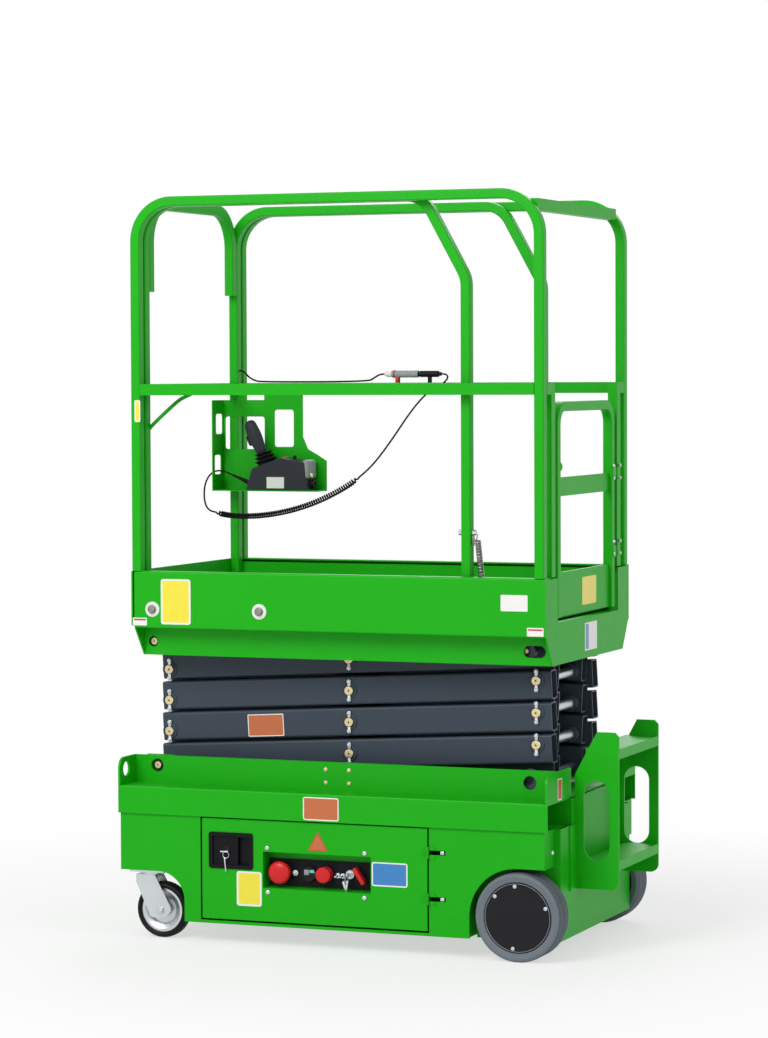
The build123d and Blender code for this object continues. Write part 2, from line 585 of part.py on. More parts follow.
for side, sign in SIDES:
    y = sign * CASTER_Y
    caster_centre = (CASTER_AXLE_X, y, CASTER_RADIUS)
    with BuildPart() as fork:
        crown_x = (CASTER_AXLE_X + FORK_LEG[0][0], CASTER_AXLE_X + FORK_LEG[1][0])
        crown_z = (CASTER_CROWN_TOP_Z - PLATE, CASTER_CROWN_TOP_Z)
        slab(crown_x, (y - FORK_HALF_GAP, y + FORK_HALF_GAP), crown_z)
        with Locations((CASTER_SWIVEL_X, y, CASTER_CROWN_TOP_Z)):
            Cylinder(28, 6, align=(Align.CENTER, Align.CENTER, Align.MIN))
        for leg_y in (y - FORK_HALF_GAP - SHEET, y + FORK_HALF_GAP):
            with BuildSketch(Plane.XZ.offset(-leg_y - SHEET)):
                with Locations((CASTER_AXLE_X, CASTER_RADIUS)):
                    Polygon(*FORK_LEG, align=None)
            extrude(amount=SHEET)
        with Locations((CASTER_SWIVEL_X, y, CASTER_PLATE_Z)):
            Cylinder(
                KINGPIN_RADIUS + RUNNING_GAP,
                KINGPIN_LENGTH + PLATE,
                align=(Align.CENTER, Align.CENTER, Align.MAX),
                mode=Mode.SUBTRACT,
            )
        cross_bar(CASTER_AXLE_X, CASTER_RADIUS, CASTER_AXLE_RADIUS, (y - FORK_HALF_GAP, y + FORK_HALF_GAP))
    save(fork.part, f"caster_fork_{side}")
    with BuildPart() as wheel:
        add(turned(CASTER_TYRE_PROFILE, caster_centre, (0, sign, 0)))
    save(wheel.part, f"caster_wheel_{side}")
    with BuildPart() as rim:
        add(turned(CASTER_RIM_PROFILE, caster_centre, (0, sign, 0)))
    save(rim.part, f"caster_rim_{side}")

# ---------------------------------------------------------------- lift cylinder

LIFT_TRAVEL = 48.0
BARREL_PIN_ALONG = 890.0
BARREL_PIN_DROP = 38.0
ROD_PIN_ALONG = 130.0
ROD_PIN_DROP = 52.0
BARREL_LENGTH = 580.0
BARREL_NECK = 60.0
BARREL_RADIUS = 28.0
ROD_RADIUS = 15.0
EYE_RADIUS = 17.0
EYE_HALF_WIDTH = 15.0
CYLINDER_PIN_RADIUS = 10.0
BARREL_END = 8.0
ROD_START = 12.0


def on_inner_arm(level, along, drop, raised):
    # A point carried by an inner arm: along it from its right pin, and below its pin line
    angle = STOWED_ANGLE + raised
    x = BASE_PIN_X + (PIN_SPAN - along) * math.cos(angle) - drop * math.sin(angle)
    low_z = BASE_PIN_Z + (level - 1) * PIN_SPAN * math.sin(angle)
    return Vector(x, 0, low_z + along * math.sin(angle) - drop * math.cos(angle))


def cylinder_line(raised):
    # Length and slope of the line from the barrel's pin to the rod's pin
    barrel_pin = on_inner_arm(1, BARREL_PIN_ALONG, BARREL_PIN_DROP, raised)
    rod_pin = on_inner_arm(3, ROD_PIN_ALONG, ROD_PIN_DROP, raised)
    line = rod_pin - barrel_pin
    return line.length, math.atan2(line.Z, line.X)


BARREL_PIN = on_inner_arm(1, BARREL_PIN_ALONG, BARREL_PIN_DROP, 0)
ROD_PIN = on_inner_arm(3, ROD_PIN_ALONG, ROD_PIN_DROP, 0)
CLOSED_LENGTH, CLOSED_SLOPE = cylinder_line(0)
RAISED_LENGTH, RAISED_SLOPE = cylinder_line(math.radians(LIFT_TRAVEL))
CYLINDER_AXIS = Vector(math.cos(CLOSED_SLOPE), 0, math.sin(CLOSED_SLOPE))


# ---------------------------------------------------------------- scissor stack

CROSS_TUBES = {
    # level: distance of each cross tube from the arm pair's right pins
    1: (114.0, 985.0),
    2: (60.0, 942.0),
    3: (130.0, 942.0),
    4: (114.0, 942.0),
}
# level: (along, drop) of the lift cylinder's pin that the pair carries, and its cross tube
CYLINDER_LUGS = {
    1: (BARREL_PIN_ALONG, BARREL_PIN_DROP, 985.0),
    3: (ROD_PIN_ALONG, ROD_PIN_DROP, 130.0),
}
LUG_GAP = EYE_HALF_WIDTH + MOVING_GAP + 0.5
LUG_THICKNESS = 8.0


def roller_axle(z, shaft_radius, outer_y):
    # A full-width shaft at the right-hand pins, with a track roller on each end
    cross_bar(RIGHT_PIN_X, z, shaft_radius, (-outer_y, outer_y))
    for sign in (-1, 1):
        cross_bar(RIGHT_PIN_X, z, ROLLER_RADIUS, across(sign, outer_y - ROLLER_WIDTH, outer_y))


def cross_tube_centre(middle_z, station):
    along = PIN_SPAN / 2 - station
    return MID_PIN_X + along * math.cos(ARM_TILT), middle_z - along * math.sin(ARM_TILT)


for level in range(1, LEVELS + 1):
    low_z = BASE_PIN_Z + (level - 1) * LEVEL_PITCH
    mid_z = low_z + LEVEL_PITCH / 2
    high_z = low_z + LEVEL_PITCH
    with BuildPart() as outer_arms:
        add(arm_tubes(OUTER_ARM_Y, mid_z, ARM_TILT, ARM_END_RIGHT))
        for sign in (-1, 1):
            # Middle pin
            middle_y = across(sign, OUTER_ARM_Y + PIN_PROUD, INNER_ARM_Y - ARM_WIDTH - SHEET)
            cross_bar(MID_PIN_X, mid_z, PIN_RADIUS, middle_y)
        reach = OUTER_ARM_Y + PIN_PROUD
        if level > 1:
            cross_bar(BASE_PIN_X, low_z, PIN_RADIUS, (-reach, reach))
        else:
            for sign in (-1, 1):
                span = across(sign, OUTER_ARM_Y + 1, OUTER_ARM_Y - ARM_WIDTH - 1)
                cross_bar(BASE_PIN_X, low_z, PIN_RADIUS + RUNNING_GAP, span, Mode.SUBTRACT)
        if level < LEVELS:
            cross_bar(RIGHT_PIN_X, high_z, PIN_RADIUS, (-reach, reach))
        else:
            roller_axle(high_z, PIN_RADIUS, PLATFORM_ROLLER_Y)
    save(outer_arms.part, f"outer_arms_{level}")
    with BuildPart() as inner_arms:
        add(arm_tubes(INNER_ARM_Y, mid_z, -ARM_TILT, ARM_END_ROLLER))
        for station in CROSS_TUBES[level]:
            tube_x, tube_z = cross_tube_centre(mid_z, station)
            inside = INNER_ARM_Y - ARM_WIDTH
            cross_bar(tube_x, tube_z, CROSS_TUBE_RADIUS, (-inside, inside))
        if level in CYLINDER_LUGS:
            along, drop, station = CYLINDER_LUGS[level]
            tube = Vector(*cross_tube_centre(mid_z, station))
            pin = on_inner_arm(level, along, drop, 0)
            lug = Vector(pin.X, pin.Z) - tube
            for sign in (-1, 1):
                plate_y = across(sign, LUG_GAP, LUG_GAP + LUG_THICKNESS)
                with BuildSketch(standing_plane(plate_y)):
                    with Locations(Location(tube + lug / 2, math.degrees(math.atan2(lug.Y, lug.X)))):
                        SlotCenterToCenter(lug.length, 2 * EYE_RADIUS)
                extrude(amount=LUG_THICKNESS)
            if level == 1:
                pin_reach = LUG_GAP + LUG_THICKNESS + SHEET
                cross_bar(pin.X, pin.Z, CYLINDER_PIN_RADIUS, (-pin_reach, pin_reach))
        # Pin bores: middle and left run on their pins, the right one is the opened pivot
        for sign in (-1, 1):
            through = across(sign, INNER_ARM_Y + 1, INNER_ARM_Y - ARM_WIDTH - 1)
            cross_bar(MID_PIN_X, mid_z, PIN_RADIUS + RUNNING_GAP, through, Mode.SUBTRACT)
            cross_bar(BASE_PIN_X, high_z, PIN_RADIUS + RUNNING_GAP, through, Mode.SUBTRACT)
            if level > 1:
                cross_bar(RIGHT_PIN_X, low_z, PIN_RADIUS + OPEN_PIVOT_GAP, through, Mode.SUBTRACT)
        if level == 1:
            roller_axle(low_z, ROLLER_SHAFT_RADIUS, ROLLER_OUTER_Y)
    save(inner_arms.part, f"inner_arms_{level}")

with BuildPart() as cylinder_barrel:
    barrel_start = Plane(origin=BARREL_PIN + CYLINDER_AXIS * BARREL_NECK, z_dir=CYLINDER_AXIS)
    with BuildSketch(barrel_start):
        Circle(BARREL_RADIUS)
    extrude(amount=BARREL_LENGTH - BARREL_NECK)
    with BuildSketch(Plane(origin=BARREL_PIN, z_dir=CYLINDER_AXIS)):
        Rectangle(2 * EYE_HALF_WIDTH, 2 * EYE_HALF_WIDTH)
    extrude(amount=BARREL_NECK)
    cross_bar(BARREL_PIN.X, BARREL_PIN.Z, EYE_RADIUS + 3, (-EYE_HALF_WIDTH, EYE_HALF_WIDTH))
    pin_bore = (-EYE_HALF_WIDTH, EYE_HALF_WIDTH)
    cross_bar(BARREL_PIN.X, BARREL_PIN.Z, CYLINDER_PIN_RADIUS + RUNNING_GAP, pin_bore, Mode.SUBTRACT)
    # Bore for the rod
    bore_start = Plane(origin=BARREL_PIN + CYLINDER_AXIS * (BARREL_NECK + BARREL_END), z_dir=CYLINDER_AXIS)
    with BuildSketch(bore_start):
        Circle(ROD_RADIUS + RUNNING_GAP)
    extrude(amount=BARREL_LENGTH - BARREL_NECK - BARREL_END, mode=Mode.SUBTRACT)
save(cylinder_barrel.part, "cylinder_barrel")

with BuildPart() as cylinder_rod:
    rod_start = Plane(origin=BARREL_PIN + CYLINDER_AXIS * (BARREL_NECK + ROD_START), z_dir=CYLINDER_AXIS)
    with BuildSketch(rod_start):
        Circle(ROD_RADIUS)
    extrude(amount=CLOSED_LENGTH - BARREL_NECK - ROD_START)
    cross_bar(ROD_PIN.X, ROD_PIN.Z, EYE_RADIUS, (-EYE_HALF_WIDTH, EYE_HALF_WIDTH))
save(cylinder_rod.part, "cylinder_rod")

# ---------------------------------------------------------------- platform

DECK_START_X = PLATFORM_FRONT_X + SHEET + MOVING_GAP
FLOOR_SHEET = 3.0
TRACK_FLANGE = 50.0
PLATFORM_PIN_BRACKET_Y = 268.0
ROLLER_SLOT_X = 482.5
ROLLER_SLOT_Z = 792.5
ROLLER_SLOT_LENGTH = 61.0
ROLLER_SLOT_WIDTH = 31.0
TOE_LIP = 28.0
NOTCH_TOP_Z = PLATFORM_PIN_Z + 8

with BuildPart() as platform_deck:
    # Floor pan on two side channels, with the roller tracks and the tapered front plate
    pan_y = (-PLATFORM_Y + SHEET, PLATFORM_Y - SHEET)
    channel_x = (DECK_START_X + SHEET, PLATFORM_REAR_X - SHEET)
    slab(channel_x, pan_y, (FLOOR_Z - FLOOR_SHEET, FLOOR_Z))
    for sign in (-1, 1):
        web_y = across(sign, CHANNEL_Y - PLATE, CHANNEL_Y)
        with BuildSketch(standing_plane(web_y)):
            with Locations((sum(channel_x) / 2, (CHANNEL_BOTTOM_Z + FLOOR_Z - FLOOR_SHEET) / 2)):
                Rectangle(channel_x[1] - channel_x[0], FLOOR_Z - FLOOR_SHEET - CHANNEL_BOTTOM_Z)
            with Locations((BASE_PIN_X, PLATFORM_PIN_Z)):
                Circle(PIN_WINDOW_RADIUS - SHEET, mode=Mode.SUBTRACT)
            with Locations((ROLLER_SLOT_X, ROLLER_SLOT_Z)):
                SlotOverall(ROLLER_SLOT_LENGTH, ROLLER_SLOT_WIDTH, mode=Mode.SUBTRACT)
        extrude(amount=PLATE)
        flange_y = across(sign, CHANNEL_Y - TRACK_FLANGE, CHANNEL_Y - PLATE)
        flange_z = (CHANNEL_BOTTOM_Z, PLATFORM_PIN_Z - ROLLER_RADIUS - TRACK_GAP)
        slab((TRACK_START_X, channel_x[1]), flange_y, flange_z)
        # Left pivot pin on its bracket
        bracket_x = (BASE_PIN_X - PIN_BRACKET_HALF / 2, BASE_PIN_X + PIN_BRACKET_HALF)
        bracket_y = across(sign, PLATFORM_PIN_BRACKET_Y - PLATE, PLATFORM_PIN_BRACKET_Y)
        slab(bracket_x, bracket_y, (CHANNEL_BOTTOM_Z, FLOOR_Z - FLOOR_SHEET))
        pin_y = across(sign, INNER_ARM_Y - ARM_WIDTH - SHEET, CHANNEL_Y - PLATE - PIN_PROUD)
        cross_bar(BASE_PIN_X, PLATFORM_PIN_Z, PIN_RADIUS, pin_y)
    with BuildSketch(Plane.YZ.offset(DECK_START_X)):
        Polygon(
            (-CHANNEL_Y, CHANNEL_BOTTOM_Z),
            (CHANNEL_Y, CHANNEL_BOTTOM_Z),
            (PLATFORM_Y, TOE_BOTTOM_Z),
            (-PLATFORM_Y, TOE_BOTTOM_Z),
            align=None,
        )
        # Notches that the ends of the raised arms swing through
        for sign in (-1, 1):
            notch_y = across(sign, INNER_ARM_Y - ARM_WIDTH - MOVING_GAP, INNER_ARM_Y + MOVING_GAP)
            with Locations((sum(notch_y) / 2, (CHANNEL_BOTTOM_Z + NOTCH_TOP_Z) / 2)):
                Rectangle(notch_y[1] - notch_y[0], NOTCH_TOP_Z - CHANNEL_BOTTOM_Z, mode=Mode.SUBTRACT)
    extrude(amount=SHEET)
save(platform_deck.part, "platform_deck")

GATEWAY_HALF_WIDTH = GATE_HALF_WIDTH + 14
THRESHOLD_Z = FLOOR_Z + 8
with BuildPart() as toe_boards:
    # Folded boards along both sides, and the tapered rear plate under the gate
    for sign in (-1, 1):
        with BuildSketch(Plane.YZ.offset(DECK_START_X)) as folded:
            Polygon(
                (sign * CHANNEL_Y, TOE_BOTTOM_Z),
                (sign * PLATFORM_Y, TOE_BOTTOM_Z),
                (sign * PLATFORM_Y, TOE_TOP_Z),
                (sign * (PLATFORM_Y - TOE_LIP), TOE_TOP_Z),
                (sign * (PLATFORM_Y - TOE_LIP), TOE_TOP_Z - SHEET),
                (sign * (PLATFORM_Y - SHEET), TOE_TOP_Z - SHEET),
                (sign * (PLATFORM_Y - SHEET), TOE_BOTTOM_Z + SHEET),
                (sign * CHANNEL_Y, TOE_BOTTOM_Z + SHEET),
                align=None,
            )
            outer_edge = folded.vertices().sort_by(Axis.X)
            fillet(outer_edge[-2:] if sign > 0 else outer_edge[:2], SHEET_BEND)
        extrude(amount=PLATFORM_REAR_X - DECK_START_X)
    with BuildSketch(Plane.YZ.offset(PLATFORM_REAR_X - SHEET)):
        Polygon(
            (-CHANNEL_Y, CHANNEL_BOTTOM_Z),
            (CHANNEL_Y, CHANNEL_BOTTOM_Z),
            (PLATFORM_Y - SHEET, TOE_BOTTOM_Z + SHEET),
            (PLATFORM_Y - SHEET, TOE_TOP_Z - SHEET),
            (GATEWAY_HALF_WIDTH, TOE_TOP_Z - SHEET),
            (GATEWAY_HALF_WIDTH, THRESHOLD_Z),
            (-GATEWAY_HALF_WIDTH, THRESHOLD_Z),
            (-GATEWAY_HALF_WIDTH, TOE_TOP_Z - SHEET),
            (-PLATFORM_Y + SHEET, TOE_TOP_Z - SHEET),
            (-PLATFORM_Y + SHEET, TOE_BOTTOM_Z + SHEET),
            align=None,
        )
    extrude(amount=SHEET)
save(toe_boards.part, "toe_boards")

for side, sign in SIDES:
    hoop_points = (
        (HOOP_FRONT_X, TOE_TOP_Z),
        (HOOP_FRONT_X, HOOP_TOP_Z),
        (HOOP_REAR_X, HOOP_TOP_Z),
        (HOOP_REAR_X, TOE_TOP_Z),
    )
    with BuildPart() as side_rail:
        add(tube_frame(hoop_points, RAIL_BEND, Plane.XZ.offset(-sign * OUTER_RAIL_Y)))
        slab(
            (HOOP_FRONT_X + RAIL_DEPTH / 2, HOOP_REAR_X - RAIL_DEPTH / 2),
            (sign * OUTER_RAIL_Y - RAIL_WIDTH / 2, sign * OUTER_RAIL_Y + RAIL_WIDTH / 2),
            MID_RAIL_Z,
        )
    save(side_rail.part, f"side_rail_{side}")

GATE_HINGE_X = HOOP_REAR_X - 7
GATE_HINGE_Z = (1027.0, 1239.0)
GATE_LEAF_HEIGHT = 32.0
GATE_BARREL_RADIUS = 5.0
GATE_LEAF_THICKNESS = 5.0
GATE_KNUCKLE_GAP = 1.0
GATE_PLATE = 2.5
post_x = (HOOP_REAR_X - RAIL_DEPTH / 2, HOOP_REAR_X + RAIL_DEPTH / 2)
leaf_x = (GATE_HINGE_X - GATE_LEAF_THICKNESS / 2, GATE_HINGE_X + GATE_LEAF_THICKNESS / 2)
strap_x = (post_x[1], post_x[1] + GATE_PLATE)

with BuildPart() as rear_rail:
    # Top cross rail, the jamb posts beside the gate, and the fixed hinge knuckles
    side_face = OUTER_RAIL_Y - RAIL_WIDTH / 2
    slab((HOOP_REAR_X - 40, HOOP_REAR_X - 10), (-side_face, side_face), (1925, 1955))
    jamb_y = GATE_HALF_WIDTH + JAMB_GAP
    for sign in (-1, 1):
        slab(post_x, across(sign, jamb_y, jamb_y + RAIL_WIDTH), (TOE_TOP_Z, MID_RAIL_Z[0]))
        slab(post_x, across(sign, jamb_y, side_face), MID_RAIL_Z)
    for hinge_z in GATE_HINGE_Z:
        half = GATE_LEAF_HEIGHT / 2
        knuckle_z = (hinge_z - half, hinge_z - GATE_KNUCKLE_GAP)
        slab(leaf_x, (GATE_HINGE_Y, jamb_y), knuckle_z)
        with Locations((GATE_HINGE_X, GATE_HINGE_Y, sum(knuckle_z) / 2)):
            Cylinder(GATE_BARREL_RADIUS, knuckle_z[1] - knuckle_z[0])
        slab(strap_x, (jamb_y - MOVING_GAP, jamb_y + RAIL_WIDTH - 8), (hinge_z - half, hinge_z + half))
save(rear_rail.part, "rear_rail")

GATE_BOTTOM_Z = FLOOR_Z + 20
GATE_BEND = 50.0
GATE_BAR_Z = (1190.0, 1239.0)
GATE_BAR_HALF_DEPTH = 4.0
KICK_PLATE_TOP_Z = TOE_TOP_Z + 7
with BuildPart() as gate:
    # Bent tube frame with a cross bar, a kick plate and its hinge knuckles
    leg_y = GATE_HALF_WIDTH - RAIL_DEPTH / 2
    gate_points = (
        (-leg_y, GATE_BOTTOM_Z),
        (-leg_y, GATE_TOP_Z - RAIL_DEPTH / 2),
        (leg_y, GATE_TOP_Z - RAIL_DEPTH / 2),
        (leg_y, GATE_BOTTOM_Z),
    )
    add(tube_frame(gate_points, GATE_BEND, Plane.YZ.offset(HOOP_REAR_X), width=RAIL_DEPTH))
    inside = leg_y - RAIL_DEPTH / 2
    bar_x = (HOOP_REAR_X - GATE_BAR_HALF_DEPTH, HOOP_REAR_X + GATE_BAR_HALF_DEPTH)
    for span_z in (GATE_BAR_Z, (GATE_BOTTOM_Z, KICK_PLATE_TOP_Z)):
        slab(bar_x, (-inside, inside), span_z)
    for hinge_z in GATE_HINGE_Z:
        half = GATE_LEAF_HEIGHT / 2
        slab(leaf_x, (GATE_HALF_WIDTH, GATE_HINGE_Y), (hinge_z, hinge_z + half))
        with Locations((GATE_HINGE_X, GATE_HINGE_Y, hinge_z + half / 2)):
            Cylinder(GATE_BARREL_RADIUS, half)
        strap_y = (GATE_HALF_WIDTH - RAIL_DEPTH + RAIL_CORNER, GATE_HALF_WIDTH + MOVING_GAP)
        slab(strap_x, strap_y, (hinge_z - half, hinge_z + half))
save(gate.part, "gate")

# ---------------------------------------------------------------- roll-out extension

EXTENSION_REAR_X = 470.0
EXTENSION_SIDE_Y = INNER_RAIL_Y + RAIL_WIDTH / 2
EXTENSION_SIDE_TOP_Z = 975.0
with BuildPart() as extension_deck:
    # Sliding floor with low sides and the front toe plate
    floor_x = (PLATFORM_FRONT_X + SHEET, EXTENSION_REAR_X)
    floor_z = (EXTENSION_FLOOR_Z - FLOOR_SHEET, EXTENSION_FLOOR_Z)
    slab(floor_x, (-EXTENSION_SIDE_Y, EXTENSION_SIDE_Y), floor_z)
    with BuildSketch(Plane.YZ.offset(PLATFORM_FRONT_X)) as toe_plate:
        with Locations((0, (TOE_BOTTOM_Z + MOVING_GAP + TOE_TOP_Z) / 2)):
            Rectangle(PLATFORM_WIDTH, TOE_TOP_Z - TOE_BOTTOM_Z - MOVING_GAP)
        fillet(toe_plate.vertices(), SHEET_BEND)
    extrude(amount=SHEET)
    for sign in (-1, 1):
        side_y = across(sign, EXTENSION_SIDE_Y, EXTENSION_SIDE_Y + FLOOR_SHEET)
        slab(floor_x, side_y, (floor_z[0], EXTENSION_SIDE_TOP_Z))
save(extension_deck.part, "extension_deck")

SLANT_POST_X = 301.0
SLANT_START_X = 183.0
SLANT_END_Z = 1755.0
SLANT_BEND = 80.0
for side, sign in SIDES:
    with BuildPart() as extension_rail:
        side_points = (
            (HOOP_FRONT_X, EXTENSION_FLOOR_Z),
            (HOOP_FRONT_X, HOOP_TOP_Z),
            (SLANT_START_X, HOOP_TOP_Z),
            (SLANT_POST_X, SLANT_END_Z),
            (SLANT_POST_X, EXTENSION_FLOOR_Z),
        )
        bends = (RAIL_BEND, SLANT_BEND, SLANT_BEND)
        add(tube_frame(side_points, bends, Plane.XZ.offset(-sign * INNER_RAIL_Y)))
        slab(
            (HOOP_FRONT_X + RAIL_DEPTH / 2, SLANT_POST_X - RAIL_DEPTH / 2),
            (sign * INNER_RAIL_Y - RAIL_WIDTH / 2, sign * INNER_RAIL_Y + RAIL_WIDTH / 2),
            MID_RAIL_Z,
        )
    save(extension_rail.part, f"extension_rail_{side}")

FRONT_RAIL_LEG_Z = 1731.0
with BuildPart() as front_rail:
    # Inverted U between the two inner rails, and the front mid rail
    u_rail_y = INNER_RAIL_Y - RAIL_WIDTH
    u_points = (
        (-u_rail_y, FRONT_RAIL_LEG_Z),
        (-u_rail_y, HOOP_TOP_Z),
        (u_rail_y, HOOP_TOP_Z),
        (u_rail_y, FRONT_RAIL_LEG_Z),
    )
    plane = Plane.YZ.offset(HOOP_FRONT_X)
    add(tube_frame(u_points, RAIL_BEND, plane, depth=RAIL_WIDTH, width=RAIL_DEPTH))
    inner_face = INNER_RAIL_Y - RAIL_WIDTH / 2
    rail_x = (HOOP_FRONT_X - RAIL_DEPTH / 2, HOOP_FRONT_X + RAIL_DEPTH / 2)
    slab(rail_x, (-inner_face, inner_face), MID_RAIL_Z)
save(front_rail.part, "front_rail")

# ---------------------------------------------------------------- upper controls

SHELF_Z = 1180.0
BRACKET_SHEET = 3.0
BRACKET_LEFT_X = -655.0
BRACKET_RIGHT_X = -335.0
BRACKET_TOP_Z = 1436.0
BRACKET_TAB = 8.0
BRACKET_Y = INNER_RAIL_Y - RAIL_WIDTH / 2
BRACKET_REACH = 76.0
BRACKET_CORNER = 8.0
CORD_HOLE = (245.0, 1253.5, 44.0, 55.0)
UPPER_HOLE = (255.5, 1368.5, 47.0, 57.0)

with BuildPart() as control_bracket:
    # Back plate hung on the far mid rail by two tabs, with its windows, side flange and shelf
    with BuildSketch(standing_plane((BRACKET_Y - BRACKET_SHEET, BRACKET_Y))) as back_plate:
        Polygon(
            (BRACKET_LEFT_X, SHELF_Z),
            (BRACKET_RIGHT_X, SHELF_Z),
            (BRACKET_RIGHT_X, 1265),
            (-361, 1281),
            (-392, 1298),
            (-407, 1332),
            (-407, BRACKET_TOP_Z),
            (BRACKET_LEFT_X, BRACKET_TOP_Z),
            align=None,
        )
        tab_top_z = MID_RAIL_Z[0] + BRACKET_TAB
        tab_middle_z = (BRACKET_TOP_Z + tab_top_z) / 2
        # Tabs: (middle X, width)
        for tab_x, tab_width in ((-595, 27), (-466, 118)):
            with Locations((tab_x, tab_middle_z)):
                Rectangle(tab_width, tab_top_z - BRACKET_TOP_Z)
        # Windows: (middle X, middle Z, width, height)
        for x, z, width, height in ((-464, 1356, 59, 105), (-585, 1343, 122, 92)):
            with Locations((x, z)):
                RectangleRounded(width, height, BRACKET_CORNER, mode=Mode.SUBTRACT)
    extrude(amount=BRACKET_SHEET)
    shelf_y = (BRACKET_Y - BRACKET_REACH, BRACKET_Y - BRACKET_SHEET)
    slab((BRACKET_LEFT_X, BRACKET_RIGHT_X), shelf_y, (SHELF_Z, SHELF_Z + BRACKET_SHEET))
    with BuildSketch(Plane.YZ.offset(BRACKET_LEFT_X)):
        flange_low_z = SHELF_Z + BRACKET_SHEET
        with Locations((sum(shelf_y) / 2, (flange_low_z + BRACKET_TOP_Z) / 2)):
            Rectangle(shelf_y[1] - shelf_y[0], BRACKET_TOP_Z - flange_low_z)
        for y, z, width, height in (CORD_HOLE, UPPER_HOLE):
            with Locations((y, z)):
                RectangleRounded(width, height, BRACKET_CORNER, mode=Mode.SUBTRACT)
    extrude(amount=BRACKET_SHEET)
save(control_bracket.part, "control_bracket")

BOX_FRONT_Y = BRACKET_Y - BRACKET_REACH
BOX_BACK_Y = BRACKET_Y - 8
BOX_BOTTOM_Z = SHELF_Z + BRACKET_SHEET
BOX_END_LOW = Vector(-551, BOX_BOTTOM_Z)
BOX_END_HIGH = Vector(-534, 1244)
with BuildPart() as control_box:
    # Moulded housing with sloped ends and a sloped top
    with BuildSketch(standing_plane((BOX_FRONT_Y, BOX_BACK_Y))) as box_outline:
        Polygon(
            (BOX_END_LOW.X, BOX_END_LOW.Y),
            (-365, BOX_BOTTOM_Z),
            (-373, 1262),
            (-444, 1274),
            (BOX_END_HIGH.X, BOX_END_HIGH.Y),
            align=None,
        )
        fillet(box_outline.vertices().sort_by(Axis.Y)[2:], 6)
    extrude(amount=BOX_BACK_Y - BOX_FRONT_Y)
    fillet(control_box.edges().filter_by(Axis.Y, reverse=True).group_by(Axis.Y)[0].sort_by(Axis.Z)[-1:], 3)
save(control_box.part, "control_box")

# Joystick, turned about its own leaning line: (radius, distance along the line)
BOOT_PROFILE = (
    (0, 0),
    (36, 0),
    (36, 4),
    (31, 7),
    (33, 10),
    (27, 14),
    (28, 17),
    (22, 21),
    (23, 24),
    (14, 30),
    (12, 36),
    (0, 36),
)
GRIP_PROFILE = ((0, 36), (14, 36), (16, 46), (15, 62), (18, 84), (20, 104), (19, 122), (15, 130), (0, 132))
STICK_FOOT = Vector(-500, (BOX_FRONT_Y + BOX_BACK_Y) / 2, 1260)
STICK_LINE = Vector(-0.34, 0, 0.94).normalized()
with BuildPart() as joystick:
    add(turned(BOOT_PROFILE, STICK_FOOT, STICK_LINE))
    add(turned(GRIP_PROFILE, STICK_FOOT, STICK_LINE))
    # Trigger on the grip's front
    trigger = STICK_FOOT + STICK_LINE * 80 + Vector(-20, 0, -4)
    with Locations(Location(trigger, (0, -20, 0))):
        Box(12, 14, 34)
save(joystick.part, "joystick")

# ---------------------------------------------------------------- control lead

LEAD_RADIUS = 2.5
COIL_RADIUS = 8.5

# Route of the lead from its strain relief to the coil, along the coil, and on to the plug
LEAD_START_ROUTE = (
    (-597, 228, 1224),
    (-615, 228, 1231.5),
    (-636, 231, 1237),
    (-657, 237, 1236),
    (-675, 240, 1226),
    (-686, 239, 1209),
    (-690, 234, 1189),
    (-688, 227, 1168),
    (-683, 220, 1148),
    (-674, 214, 1133),
    (-662, 209, 1124),
    (-648, 206, 1121),
)
COIL_ROUTE = (
    (-648, 206, 1121),
    (-620, 200, 1115),
    (-587, 197, 1111),
    (-547, 196, 1110),
    (-505, 196, 1112),
    (-463, 196, 1117),
    (-421, 197, 1125),
    (-379, 198, 1136),
    (-338, 199.5, 1150),
    (-298, 202, 1167),
    (-259, 205, 1187),
    (-226, 209, 1207),
    (-204, 213, 1225),
)
LEAD_END_ROUTE = (
    (-204, 213, 1225),
    (-193, 215, 1234),
    (-174, 219, 1252),
    (-152, 226, 1279),
    (-129, 234, 1312),
    (-106, 243, 1347),
    (-82, 252.5, 1386),
    (-58, 261, 1420),
    (-34, 268, 1448),
    (-11, 273, 1466),
    (10, 276, 1474),
    (24, 278, 1487),
    (28, 284, 1494),
    (27, 291, 1500),
    (22, 297, 1505),
    (14, 301, 1508),
    (4, 301, 1508),
)
RAIL_CABLE_ROUTE = (
    (-165, 301, 1508),
    (-179, 301, 1508),
    (-196, 301, 1498),
    (-214, 301, 1487),
    (-540, 301, 1487),
    (-562, 301, 1491),
    (-579, 301, 1500),
    (-590, 301, 1512),
    (-599, 301, 1519),
    (-608.5, 301, 1519),
)


def cord_tube(route, radius, name):
    # Straight runs joined by arcs, each as large as its two runs allow
    points = [Vector(*point) for point in route]
    radii = []
    for before, corner, after in zip(points, points[1:], points[2:]):
        run = min((corner - before).length, (after - corner).length)
        turn = math.radians((corner - before).get_angle(after - corner))
        radii.append(0.45 * run / math.tan(turn / 2))
    with BuildPart(mode=Mode.PRIVATE) as tube:
        with BuildLine() as path:
            FilletPolyline(*points, radius=radii)
        with BuildSketch(Plane(path.line @ 0, z_dir=path.line % 0)):
            Circle(radius)
        sweep()
    length = sum(edge.length for edge in path.edges())
    volume_ratio = tube.part.volume / (math.pi * radius**2 * length)
    print(f"{name}: {length:.0f} mm, smallest radius {min(radii):.1f}, volume ratio {volume_ratio:.4f}")
    return tube.part


with BuildPart() as control_lead:
    add(cord_tube(LEAD_START_ROUTE, LEAD_RADIUS, "lead from the relief"))
    add(cord_tube(LEAD_END_ROUTE, LEAD_RADIUS, "lead to the plug"))
save(control_lead.part, "control_lead")

